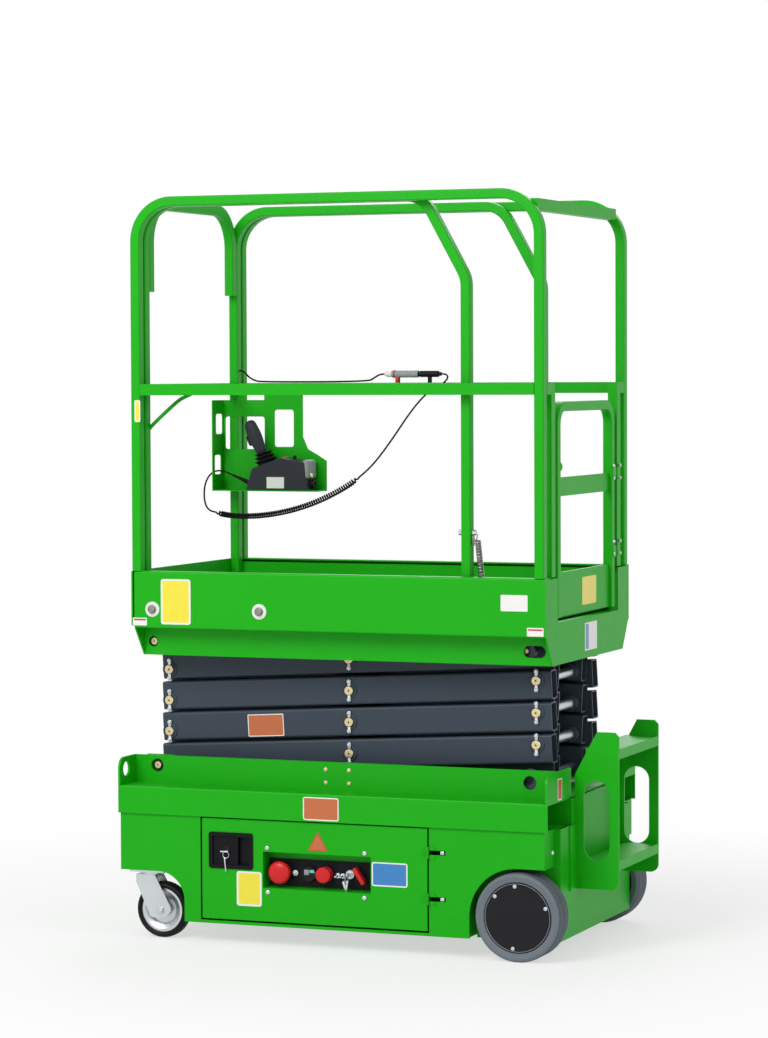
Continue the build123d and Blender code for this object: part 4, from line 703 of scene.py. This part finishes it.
# %% [markdown]
# ## Pins seen through the windows
# The base pivot, the platform pivot and the top roller shaft show inside windows in the side
# channels. A dark disc reads as the shadow around the pin, and the same brass head stands on it.

# %% Window pins
WINDOW_HEAD_SCALE = 0.8
WINDOW_PINS = (
    ("base", "chassis", -600.5, 268.0, 457.0, 15.5),
    ("platform", "platform", -600.5, 285.0, 793.0, 13.5),
)
for side, out in SIDES:
    for name, body, x, y, z, radius in WINDOW_PINS:
        seat = Vector((x / 1000, out.y * y / 1000, z / 1000))
        shadow = ((radius, 0.0), (radius, 0.3), (1.0, 0.3))
        round_piece(f"window_{name}_{side}", seat, out, shadow, body, satin_black, sides=32)
        move = Matrix.Translation(seat) @ turned_to(side) @ Matrix.Scale(WINDOW_HEAD_SCALE, 4)
        move = move @ Matrix.Translation(-pin_face)
        for kind in ("head", "hole"):
            piece, slot = pin_set[kind]
            copy_of(piece, f"window_{kind}_{name}_{side}", body, move)
# The rollers at the other end: a dark disc on each end face, painted shade in the hole round the
# roller, and a stud on the upper one
ROLLER_SHADE_DISC = ((14.0, 0.0), (14.0, 0.4), (1.0, 0.4))
ROLLER_STUD = ((9.0, 0.0), (9.0, 1.2), (7.6, 2.4), (5.4, 2.4), (5.0, 3.6), (0.8, 3.8))
upper_roller = 2 * joints["cross_4"] - joints["joint_3"]
lower_roller = 2 * joints["cross_1"] - joints["lift"]
UPPER_ROLLER_Y = 0.282
LOWER_ROLLER_Y = 0.264
for side, out in SIDES:
    upper = Vector((upper_roller.x, out.y * UPPER_ROLLER_Y, upper_roller.z))
    lower = Vector((lower_roller.x, out.y * LOWER_ROLLER_Y, joints["lift"].z))
    for kind, seat, outline, body, material, slot, corners in (
        ("face_upper", upper, ROLLER_SHADE_DISC, "outer_4", satin_black, "black_plastic", 32),
        ("stud_upper", upper, ROLLER_STUD, "outer_4", brass, "zinc_steel", 28),
        ("face_lower", lower, ROLLER_SHADE_DISC, "inner_1", satin_black, "black_plastic", 32),
    ):
        name = f"roller_{kind}_{side}"
        round_piece(name, seat, out, outline, body, material, sides=corners)
for piece, _ in pin_set.values():
    bpy.data.objects.remove(piece)
print("window pins:", 2 * len(WINDOW_PINS))

# %% [markdown]
# ## Zinc shafts between the arms
# At the step end the full-width pins show as bright zinc bars between dark collars. The CAD bars
# carry the arms' paint, so a thin sleeve of zinc covers the seen middle of each one.

# %% Sleeves on the right-hand pins
SLEEVE_HALF_LENGTH = 78.0
SLEEVE_OUTLINE = ((13.4, -SLEEVE_HALF_LENGTH), (13.4, SLEEVE_HALF_LENGTH))
BOSS_OUTLINE = ((21.0, 76.0), (21.0, 92.0), (19.5, 93.5))
for level in range(1, LEVELS):
    middle = joints[f"cross_{level}"]
    low_pin = joints["lift"] if level == 1 else joints[f"joint_{level - 1}"]
    place = 2 * middle - low_pin
    place.y = 0.0
    body = f"outer_{level}"
    sleeve = round_piece(
        f"shaft_sleeve_{level}", place, FAR, SLEEVE_OUTLINE, body, zinc_steel, sides=32,
    )
    for side, out in SIDES:
        boss = round_piece(
            f"shaft_boss_{side}_{level}", place, out, BOSS_OUTLINE, body, arm_paint, sides=32,
        )
print("shaft sleeves:", LEVELS - 1)

# %% [markdown]
# ## Blank plates and stickers
# The real machine wears printed plates. Here they stay blank: the coloured field and its border
# are kept, and nothing is written on them. Each is a plane with bevelled corners, raised by half a
# millimetre, with its border made by an inset.

# %% A plate with rounded corners and a border
INSET_DEPTH = -0.0001


def raise_and_frame(piece, body, out, lift, rim, border, field):
    # Raise and inset the face; the inset field takes the second material
    bpy.ops.mesh.extrude_region_move(TRANSFORM_OT_translate={"value": out * (lift / 1000)})
    bpy.ops.mesh.inset(thickness=rim / 1000, depth=INSET_DEPTH)
    bpy.ops.object.mode_set(mode="OBJECT")
    field_faces = [face.index for face in piece.data.polygons if face.select]
    close(piece, body, border, field)
    for index in field_faces:
        piece.data.polygons[index].material_index = 1


def plate(name, body, centre, out, size, field, border=label_white, corner=6.0, rim=3.0, tilt=0.0):
    corner = max(corner, rim + 0.4)
    piece = begin("plane", name, centre, out, size=1.0)
    scale = (size[0] / 1000, size[1] / 1000, 1.0)
    bpy.ops.transform.resize(value=scale, orient_type="LOCAL")
    bpy.ops.mesh.bevel(offset=corner / 1000, segments=5, affect="VERTICES")
    raise_and_frame(piece, body, out, 0.5, rim, border, field)
    if tilt:
        turn = Matrix.Rotation(math.radians(tilt), 4, out)
        piece.data.transform(Matrix.Translation(centre) @ turn @ Matrix.Translation(-centre))


SKIN_Y = -370.0
LIP_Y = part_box("chassis_deck")[0][1] * 1000
TOE_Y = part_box("toe_boards")[0][1] * 1000
ARM_TILT = 3.27
# name: (body, X span, Z span, Y of the surface, field, corner, rim, tilt)
NEAR_PLATES = {
    "plate_door_yellow": ("door_near", (-327, -255), (104, 196), SKIN_Y, label_yellow, 7, 5, 0),
    "plate_door_blue": ("door_near", (58, 158), (176, 239), SKIN_Y, label_blue, 6, 3.5, 0),
    "plate_lip_orange": ("chassis", (-133, -32), (341, 402), LIP_Y, label_orange, 6, 3, 0),
    "plate_arm_orange": (
        "outer_2", (-370, -265), (536, 596), -ARM_FACE_Y * 1000, label_orange, 3, 2.5, ARM_TILT,
    ),
    "plate_toe_yellow": ("platform", (-551, -464), (844, 965), TOE_Y, label_yellow, 7, 5, 0),
    "plate_toe_white": ("platform", (410, 483), (900, 942), TOE_Y, label_white, 2, 2, 0),
    "plate_toe_left": ("platform", (-634, -593), (839.5, 860), TOE_Y, label_white, 1.5, 1, 0),
    "plate_toe_right": ("platform", (481, 526), (837, 859), TOE_Y, label_white, 1.5, 1, 0),
    "stripe_toe_left": ("platform", (-631, -596), (853, 857), TOE_Y - 0.4, label_red, 0.5, 0.5, 0),
    "stripe_toe_right": (
        "platform", (484, 523), (851.5, 855.5), TOE_Y - 0.4, label_red, 0.5, 0.5, 0,
    ),
}
for name, (body, x_span, z_span, y, field, corner, rim, tilt) in NEAR_PLATES.items():
    centre = at(sum(x_span) / 2, y, sum(z_span) / 2)
    size = (x_span[1] - x_span[0], z_span[1] - z_span[0])
    border = label_red if name.startswith("stripe") else label_white
    plate(name, body, centre, NEAR, size, field, border, corner, rim, tilt=tilt)
print("plates on the near side:", len(NEAR_PLATES))

# %% Plates on the step end and the front post
GATE_PANEL_X = 518.5
REAR_PLATE_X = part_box("toe_boards")[1][0] * 1000
plate(
    "plate_gate_yellow", "gate", at(GATE_PANEL_X, 43, 933), REAR, (119, 74), label_yellow,
    label_yellow, 5, 2,
)
plate(
    "plate_rear_blue", "platform", at(REAR_PLATE_X, 18, 813), REAR, (102, 74), label_white,
    label_white, 3, 2,
)
plate(
    "stripe_rear_blue", "platform", at(REAR_PLATE_X + 0.4, -14, 813), REAR, (22, 66), label_blue,
    label_blue, 1, 0.5,
)
plate(
    "plate_post", "platform", at(-615, -356, 1412), NEAR, (17, 58), label_yellow, label_white, 1.5,
    3.5,
)
TRIANGLE = ((-122.5, 260), (-66, 260), (-94, 310.5))
triangle_middle = at(-94.2, SKIN_Y, 276.8)
triangle = begin(
    "circle", "plate_door_triangle", triangle_middle, NEAR, vertices=3, radius=0.033,
    fill_type="NGON",
)
bpy.ops.object.mode_set(mode="OBJECT")
for vertex, (x, z) in zip(triangle.data.vertices, TRIANGLE):
    vertex.co = triangle.matrix_world.inverted() @ at(x, SKIN_Y, z)
bpy.ops.object.mode_set(mode="EDIT")
bpy.ops.mesh.select_all(action="SELECT")
bpy.ops.mesh.bevel(offset=0.003, segments=4, affect="VERTICES")
raise_and_frame(triangle, "door_near", NEAR, 0.5, 2.5, label_red, label_orange)
plate(
    "marker_tray_end", "chassis", at(542.5, -275, 438), REAR, (34, 56), label_red, label_white, 2,
    3,
)
print("end plates ready")

# %% [markdown]
# ## Ground controls
# The controls stand at the back of a recess in the door: a big red stop mushroom, a pilot light, a
# round gauge with a lit patch, a smaller red button, two toggles, a key switch with its ring and a
# red lift flap. Each is a stepped round piece, so its edge catches light as a turned part does.

# %% Mushroom, button, gauge and light
PANEL_FACE_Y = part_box("ground_controls")[0][1]


def on_panel(x, z):
    return Vector((x / 1000, PANEL_FACE_Y, z / 1000))


MUSHROOM = (
    (23, 0), (23, 3), (15, 3.5), (14, 16), (24, 17), (29, 20), (30.5, 24), (30, 29),
    (27, 33), (21, 36), (12, 38), (3, 38.6),
)
BUTTON = (
    (20, 0), (20, 3), (13, 3.5), (12.5, 13), (19, 14), (21, 17), (21, 23), (19.5, 25), (17, 25.6),
    (3, 25.8),
)
GAUGE = ((21.5, 0), (21.5, 6), (20, 8), (18.2, 8), (17.8, 6.6), (2, 6.6))
PILOT = ((7.5, 0), (7.5, 2), (5, 2.4), (4.6, 6), (2.6, 8.4), (0.8, 9))
PANEL_ROUNDS = {
    "ground_stop": (-210, 195, MUSHROOM, red_plastic, 48),
    "ground_button": (-87, 194, BUTTON, red_plastic, 40),
    "ground_gauge": (-134, 193, GAUGE, satin_black, 40),
    "ground_pilot": (-174, 193, PILOT, white_plastic, 20),
}
for name, (x, z, outline, material, corners) in PANEL_ROUNDS.items():
    round_piece(name, on_panel(x, z), NEAR, outline, "door_near", material, sides=corners)
gauge_low = on_panel(-131, 196) * 1000
for name, low, high, material in (
    ("gauge_screen", (0, -7.6, 0), (14, -6.0, 8), cyan_glass),
    ("gauge_window", (-16, -7.4, -6), (-2, -6.0, 8), grey_plastic),
):
    corners = (gauge_low + Vector(low), gauge_low + Vector(high))
    block(name, *corners, "door_near", material, edge=0.6)
print("panel face at y", round(PANEL_FACE_Y, 4))

# %% Toggles, key switch and lift flap
TOGGLE_NUT = (
    (7, 0), (7, 3), (5.5, 3.2), (5.2, 6), (3.2, 6.4), (2.4, 8), (3.1, 18), (3.6, 22), (2.4, 24),
)
KEY_SWITCH = ((13, 0), (13, 4), (11.5, 6), (9, 6), (8.6, 4.8), (6.8, 4.8), (6.4, 7), (1.0, 7))
for index, x in enumerate((-52, -38)):
    seat = on_panel(x, 192)
    round_piece(f"toggle_{index}", seat, NEAR, TOGGLE_NUT, "door_near", zinc_steel, sides=12)
key_seat = on_panel(-17, 197)
round_piece("key_switch", key_seat, NEAR, KEY_SWITCH, "door_near", zinc_steel, sides=32)
key_root = key_seat * 1000
key_low, key_high = (key_root + Vector(corner) for corner in ((-1.2, -26, -5), (1.2, -6, 5)))
block("switch_key", key_low, key_high, "door_near", zinc_steel, edge=0.4)


def ring(name, centre, axis, radius, wire, body, material):
    # A wire ring, spun from a small circle
    side = axis.orthogonal().normalized()
    piece = begin(
        "circle", name, centre + side * radius, axis.cross(side), vertices=8, radius=wire,
        fill_type="NOTHING",
    )
    bpy.ops.mesh.spin(steps=28, angle=2 * math.pi, center=centre, axis=axis)
    bpy.ops.mesh.select_all(action="SELECT")
    bpy.ops.mesh.remove_doubles(threshold=0.00002)
    return close(piece, body, material)


ring("key_ring", on_panel(-19, 184) + NEAR * 0.024, REAR, 0.011, 0.0009, "door_near", zinc_steel)
for index, lean in enumerate((-9, 4)):
    low = key_root + Vector((-6 + lean, -26 - 2 * index, -40))
    tag = block(
        f"spare_key_{index}", low, low + Vector((6, 1.6, 27)), "door_near", zinc_steel, edge=0.6,
    )
    tag.data.transform(about(on_panel(-19, 184), "Y", math.radians(2 * lean)))
flap = block(
    "lift_flap", (10, -362, 171), (22, -336, 222), "door_near", red_plastic, edge=5.0, segments=4,
)
flap.data.transform(about(at(16, -350, 196), "Y", math.radians(-34)))
print("switches ready")

# %% Screws round the recess, and the four bolts on the tray wall
DOME = ((6.5, 0.0), (6.5, 1.4), (5.8, 2.8), (4.2, 3.8), (2.6, 4.1), (2.2, 3.2), (0.8, 3.0))
for index, (x, z) in enumerate(((-239, 261), (38, 260), (-237, 144), (37, 143))):
    seat = at(x, SKIN_Y, z)
    round_piece(f"recess_screw_{index}", seat, NEAR, DOME, "door_near", zinc_steel, sides=20)
TRAY_WALL_Y = -278
WALL_BOLT = ((5.5, 0.0), (5.5, 1.0), (4.4, 1.1), (4.4, 3.4), (3.6, 4.0), (0.8, 4.1))
for index, (x, z) in enumerate(((-108.7, 463.9), (-42.4, 463.9), (-108.7, 428.7), (-42.4, 428.7))):
    round_piece(
        f"wall_bolt_{index}", at(x, TRAY_WALL_Y, z), NEAR, WALL_BOLT, "chassis", brass, sides=12,
    )
for side, out in SIDES:
    round_piece(
        f"flange_bolt_{side}", at(533.5, out.y * 310, 277.5), REAR, DOME, "chassis", zinc_steel,
        sides=20,
    )
for side, out in SIDES:
    for index, z in enumerate((150, 271)):
        low, high = sorted((out.y * 362.0, out.y * 369.0))
        block(
            f"hinge_link_{side}_{index}", (248, low, z - 4.5), (259, high, z + 4.5), "chassis",
            zinc_steel, edge=1.2,
        )
print("screws and bolts ready")

# %% Latch lock, its ring and the hanging key
LOCK_X, LOCK_Y, LOCK_Z = -355.5, 367.5, 253
LOCK = ((9, 0), (9, 2), (8, 3), (6, 3), (5.6, 2.2), (1.2, 2.2))
for side, out in SIDES:
    seat = at(LOCK_X, out.y * LOCK_Y, LOCK_Z)
    round_piece(f"latch_lock_{side}", seat, out, LOCK, f"door_{side}", satin_black, sides=28)
key_low = Vector((-370, -381, 245))
block("latch_key_bow", key_low, key_low + Vector((22, 11, 4)), "door_near", zinc_steel, edge=0.8)
ring("latch_key_ring", at(-355, -377, 238), NEAR, 0.0085, 0.0009, "door_near", zinc_steel)
hanging = block(
    "latch_spare_key", (-361, -377.5, 194), (-357.5, -375.5, 231), "door_near", zinc_steel,
    edge=0.6,
)
hanging.data.transform(about(at(-358, -377, 231), "Y", math.radians(-6)))
print("latches ready")

# %% [markdown]
# ## Platform hardware
# Two track rollers are bolted through the near toe board, on white washers. A green knob
# works the gate, and a coil spring pulls the roll-out lock on the near rail.

# %% Roller studs on white washers
WASHER = ((20.5, 0.0), (20.5, 1.6), (19.8, 2.2), (12, 2.2), (12, 3.0))
STUD = (
    (12, 2.8), (12, 5.0), (9.5, 5.2), (9.5, 11), (8.4, 12.2), (6.0, 12.4), (5.6, 10.8), (1.0, 10.8),
)
TOE_FACE = TOE_Y / 1000
for side, out in SIDES:
    for index, x in enumerate((-576, -265)):
        seat = Vector((x / 1000, out.y * abs(TOE_FACE), 0.8835))
        round_piece(
            f"roller_washer_{side}_{index}", seat, out, WASHER, "platform", white_plastic, sides=40,
        )
        round_piece(
            f"roller_stud_{side}_{index}", seat, out, STUD, "platform", worn_steel, sides=24,
        )
print("roller studs ready")

# %% Gate knob, hinge screws and the lock spring
KNOB = ((6, -14), (6, -8), (9, -7), (12.5, -3), (13.6, 2), (13.6, 5), (12, 9), (8, 12), (3, 13))
round_piece("gate_knob", at(516, -212, 1267), REAR, KNOB, "gate", green_paint, sides=28)
HINGE_SCREW = ((5.6, 0.0), (5.6, 1.4), (4.4, 1.6), (4.4, 4.2), (3.4, 5.0), (1.0, 5.2))
for body, y, x in (("gate", 226, 527.5), ("platform", 273, 530)):
    for index, z in enumerate((1020, 1053, 1224, 1258)):
        place = at(x, y, z)
        round_piece(
            f"hinge_screw_{body}_{index}", place, REAR, HINGE_SCREW, body, zinc_steel, sides=14,
        )


def spring(name, start, end, radius, wire, turns, body, material):
    # A coil spring with a straight hook at each end
    axis = end - start
    along = axis.normalized()
    side = along.orthogonal().normalized()
    other = along.cross(side)
    hook = 0.12
    route = [start * 1000, (start + axis * hook * 0.6) * 1000]
    for step in range(turns * 10 + 1):
        angle = 2 * math.pi * step / 10
        centre = start + axis * (hook + (1 - 2 * hook) * step / (turns * 10))
        route.append((centre + (side * math.cos(angle) + other * math.sin(angle)) * radius) * 1000)
    route += [(end - axis * hook * 0.6) * 1000, end * 1000]
    return rod(name, route, wire * 1000, body, material, sides=1)


spring(
    "lock_spring", at(328, -301, 1094), at(341, -301, 968), 0.0072, 0.0016, 24, "extension",
    worn_steel,
)
LOCK_BOLT = ((8.5, 0), (8.5, 2), (7.4, 2.2), (7.4, 8), (6, 9.4), (1, 9.8))
for name, x, way in (("lock_bolt", 316, REAR), ("lock_bolt_head", 286, -REAR)):
    round_piece(name, at(x, -301, 1098), way, LOCK_BOLT, "extension", zinc_steel, sides=6)
block("lock_tab", (316, -308, 1064), (319, -294, 1090), "extension", worn_steel, edge=1.0)
print("gate and lock ready")

# %% Brace rod at the front of the near rail
BRACE = (
    (-619, -301, 1300), (-619, -290, 1352), (-606, -290, 1372), (-530, -290, 1436),
    (-512, -290, 1447), (-470, -301, 1462),
)
rod("brace_rod", BRACE, 5.0, "extension", green_paint, sides=4)
print("brace ready")

# %% [markdown]
# ## Upper controls
# The plug on the mid rail has a grey body between black ends, a white sleeve where the cable enters
# and a red tie. The control box carries a blank plate, a few small switches and an end cover.

# %% Plug parts over the CAD plug
PLUG_LINE = at(0, 301, 1508)
WEST = Vector((-1, 0, 0))
GREY_BODY = (
    (9.4, 64), (10.0, 66), (10.0, 88), (9.6, 89), (9.6, 96), (10.0, 97), (10.0, 118),
    (9.6, 119), (9.6, 126), (10.0, 127), (10.0, 140), (9.4, 142),
)
WHITE_SLEEVE = ((7.9, 141), (8.6, 143), (8.4, 156), (6.0, 163), (3.0, 165))
RED_TIE = ((10.2, 132.0), (11.2, 132.4), (11.2, 136.4), (10.2, 136.8))
for kind, outline, material, corners in (
    ("body", GREY_BODY, grey_plastic, 32),
    ("sleeve", WHITE_SLEEVE, white_plastic, 24),
    ("tie", RED_TIE, red_plastic, 24),
):
    name = f"plug_{kind}"
    round_piece(name, PLUG_LINE, WEST, outline, "extension", material, sides=corners)
block(
    "plug_tie_tail", (-131.5, 295.5, 1484), (-121.5, 306.5, 1500), "extension", red_plastic,
    edge=1.0,
)
print("plug parts ready")

# %% Small things on the control box
BOX_FACE_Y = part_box("control_box")[0][1] * 1000
plate(
    "box_plate", "extension", at(-460.5, BOX_FACE_Y, 1204.5), NEAR, (53, 31.5), label_white,
    label_white, 2.0, 1.5,
)
BOX_SWITCH = ((7, 0), (7, 4), (5, 5), (5, 12), (3, 14), (1, 14.4))
round_piece("box_switch", at(-420, 255, 1266), UP, BOX_SWITCH, "extension", satin_black, sides=20)
RED_KNOB = ((6, -8), (6, 2), (7.5, 2.5), (7.5, 5), (6, 6), (2, 6.4))
round_piece("box_red_knob", at(-448, 250, 1270), UP, RED_KNOB, "extension", red_plastic, sides=24)
block(
    "box_end_cover", (-380, 212, 1216), (-361.5, 276, 1269), "extension", grey_plastic, edge=7.0,
    segments=5,
)
block("box_latch", (-362, 224, 1220), (-356, 240, 1231), "extension", brass, edge=1.5)
SOCKET = ((14, 0), (14, 3), (11.5, 4), (11.5, 12), (10, 13), (7, 13), (6.5, 9), (1, 9))
round_piece("box_socket", at(-366, 244, 1201), REAR, SOCKET, "extension", satin_black, sides=28)
print("control box parts ready")

# %% [markdown]
# ## Joystick
# The joystick is a moulded grip that leans back over a pleated rubber boot. Both are turned shapes:
# the pleats are steps in and out of one outline, and the grip swells where the palm rests. The grip
# is then made narrower across, and a trigger is set into its front.

# %% Boot, grip and trigger
JOYSTICK_FOOT = at(-500, 244, 1254)
BOOT_AXIS = Vector((-0.3, 0, 0.954)).normalized()
GRIP_AXIS = Vector((-0.42, 0, 0.9075)).normalized()
BOOT = (
    (27, 0), (28, 4), (22, 7), (30.5, 13), (30.5, 14.5), (20, 18), (28.5, 24), (28.5, 25.5),
    (18, 28), (25.5, 34), (25.5, 35.5), (14, 38), (12, 42),
)
GRIP = (
    (11, 36), (14, 41), (15.5, 46), (17, 56), (19, 70), (20, 84), (20, 98), (19, 112),
    (17.5, 124), (14.5, 131), (9, 134.5), (2, 136),
)
ACROSS_GRIP = 0.8
boot = round_piece(
    "joystick_boot", JOYSTICK_FOOT, BOOT_AXIS, BOOT, "extension", satin_black, sides=40,
)
grip = round_piece(
    "joystick_grip", JOYSTICK_FOOT, GRIP_AXIS, GRIP, "extension", charcoal_plastic, sides=40,
)
for vertex in grip.data.vertices:
    vertex.co.y = JOYSTICK_FOOT.y + (vertex.co.y - JOYSTICK_FOOT.y) * ACROSS_GRIP
grip_middle = (JOYSTICK_FOOT + GRIP_AXIS * 0.092) * 1000
trigger_low = grip_middle + Vector((-25, -7, -24))
trigger = block(
    "joystick_trigger", trigger_low, trigger_low + Vector((15, 14, 30)), "extension", satin_black,
    edge=4.0, segments=4,
)
trigger.data.transform(about(grip_middle / 1000, "Y", math.radians(-24)))
for piece in (boot, grip, trigger):
    piece.data.shade_smooth()
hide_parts("joystick")
print("joystick top:", round(max(v.co.z for v in grip.data.vertices), 3), "m")

# %% [markdown]
# ## Studio
# The machine stands on white paper. A real sweep of paper would need much light to stay white, and
# that light would bleach the paint. So the paper adds white only for rays that come from the camera
# or from a shiny surface: a little near the machine, where its shadow should stay, and all of it
# further away. The lamps stay at a plain level, at which a colour renders about as it is written.

# %% The floor
FLOOR_SIZE = 60.0
SHADOW_START = 0.9
SHADOW_END = 2.4
NEAR_WHITE = 0.6

bpy.ops.object.select_all(action="DESELECT")
bpy.ops.mesh.primitive_plane_add(size=FLOOR_SIZE, location=(0, 0, 0))
floor = bpy.context.object
floor.name = "floor"
paper = Sheet("floor_paper")
paper.set(Base_Colour=(0.9, 0.9, 0.9, 1.0), Roughness=0.9, Specular_IOR_Level=0.1)
distance = paper.node("ShaderNodeVectorMath", {"operation": "LENGTH"}, {0: paper.place()}, "Value")
away = ((distance - SHADOW_START) * (1 / (SHADOW_END - SHADOW_START))).clamped()
camera_ray, glossy_ray, clear_ray = (
    paper.node("ShaderNodeLightPath", {}, {}, f"Is {kind} Ray")
    for kind in ("Camera", "Glossy", "Transmission")
)
seen = (camera_ray + glossy_ray + clear_ray).clamped()
whiteness = seen * (away * (1 - NEAR_WHITE) + NEAR_WHITE)
white = paper.node("ShaderNodeEmission", {}, {"Color": (1.0, 1.0, 1.0, 1.0), "Strength": 1.0})
plain = Wire(paper, paper.shader.outputs[0])
mixed = paper.node("ShaderNodeMixShader", {}, {0: whiteness, 1: plain, 2: white})
paper.put(paper.output, {"Surface": mixed})
floor.data.materials.append(paper.material)
print("floor:", floor.name, "white from", SHADOW_END, "m")

# %% Lamps
CENTRE = Vector((0.0, 0.0, 0.9))


def lamp(name, place, size, power):
    data = bpy.data.lights.new(name, "AREA")
    data.shape = "DISK"
    data.size = size
    data.energy = power
    made = bpy.data.objects.new(name, data)
    link(made)
    aim = (CENTRE - Vector(place)).to_track_quat("-Z", "Y")
    made.matrix_world = Matrix.Translation(place) @ aim.to_matrix().to_4x4()
    return made


lamp("key_lamp", (-1.5, -5.5, 4.8), 4.0, 300.0)
lamp("side_lamp", (5.5, -2.0, 3.2), 3.5, 60.0)
lamp("back_lamp", (-1.0, 5.5, 4.5), 4.0, 130.0)

# %% World
SOFT_LIGHT = 0.42

world = bpy.data.worlds.new("studio")
bpy.context.scene.world = world
world.use_nodes = True
sky = world.node_tree
sky.nodes.clear()
rays = sky.nodes.new("ShaderNodeLightPath")
shown = rays.outputs["Is Camera Ray"]
for ray_kind in ("Is Glossy Ray", "Is Transmission Ray"):
    either = sky.nodes.new("ShaderNodeMath")
    either.operation = "MAXIMUM"
    sky.links.new(shown, either.inputs[0])
    sky.links.new(rays.outputs[ray_kind], either.inputs[1])
    shown = either.outputs[0]
backgrounds = []
for strength in (SOFT_LIGHT, 1.0):
    background = sky.nodes.new("ShaderNodeBackground")
    background.inputs["Color"].default_value = (1.0, 1.0, 1.0, 1.0)
    background.inputs["Strength"].default_value = strength
    backgrounds.append(background)
choose = sky.nodes.new("ShaderNodeMixShader")
sky.links.new(shown, choose.inputs["Fac"])
sky.links.new(backgrounds[0].outputs[0], choose.inputs[1])
sky.links.new(backgrounds[1].outputs[0], choose.inputs[2])
world_output = sky.nodes.new("ShaderNodeOutputWorld")
sky.links.new(choose.outputs[0], world_output.inputs["Surface"])
bpy.context.scene.view_settings.view_transform = "Standard"
print("world light:", SOFT_LIGHT)

# %% Sizes and finish
low, high = cad_box
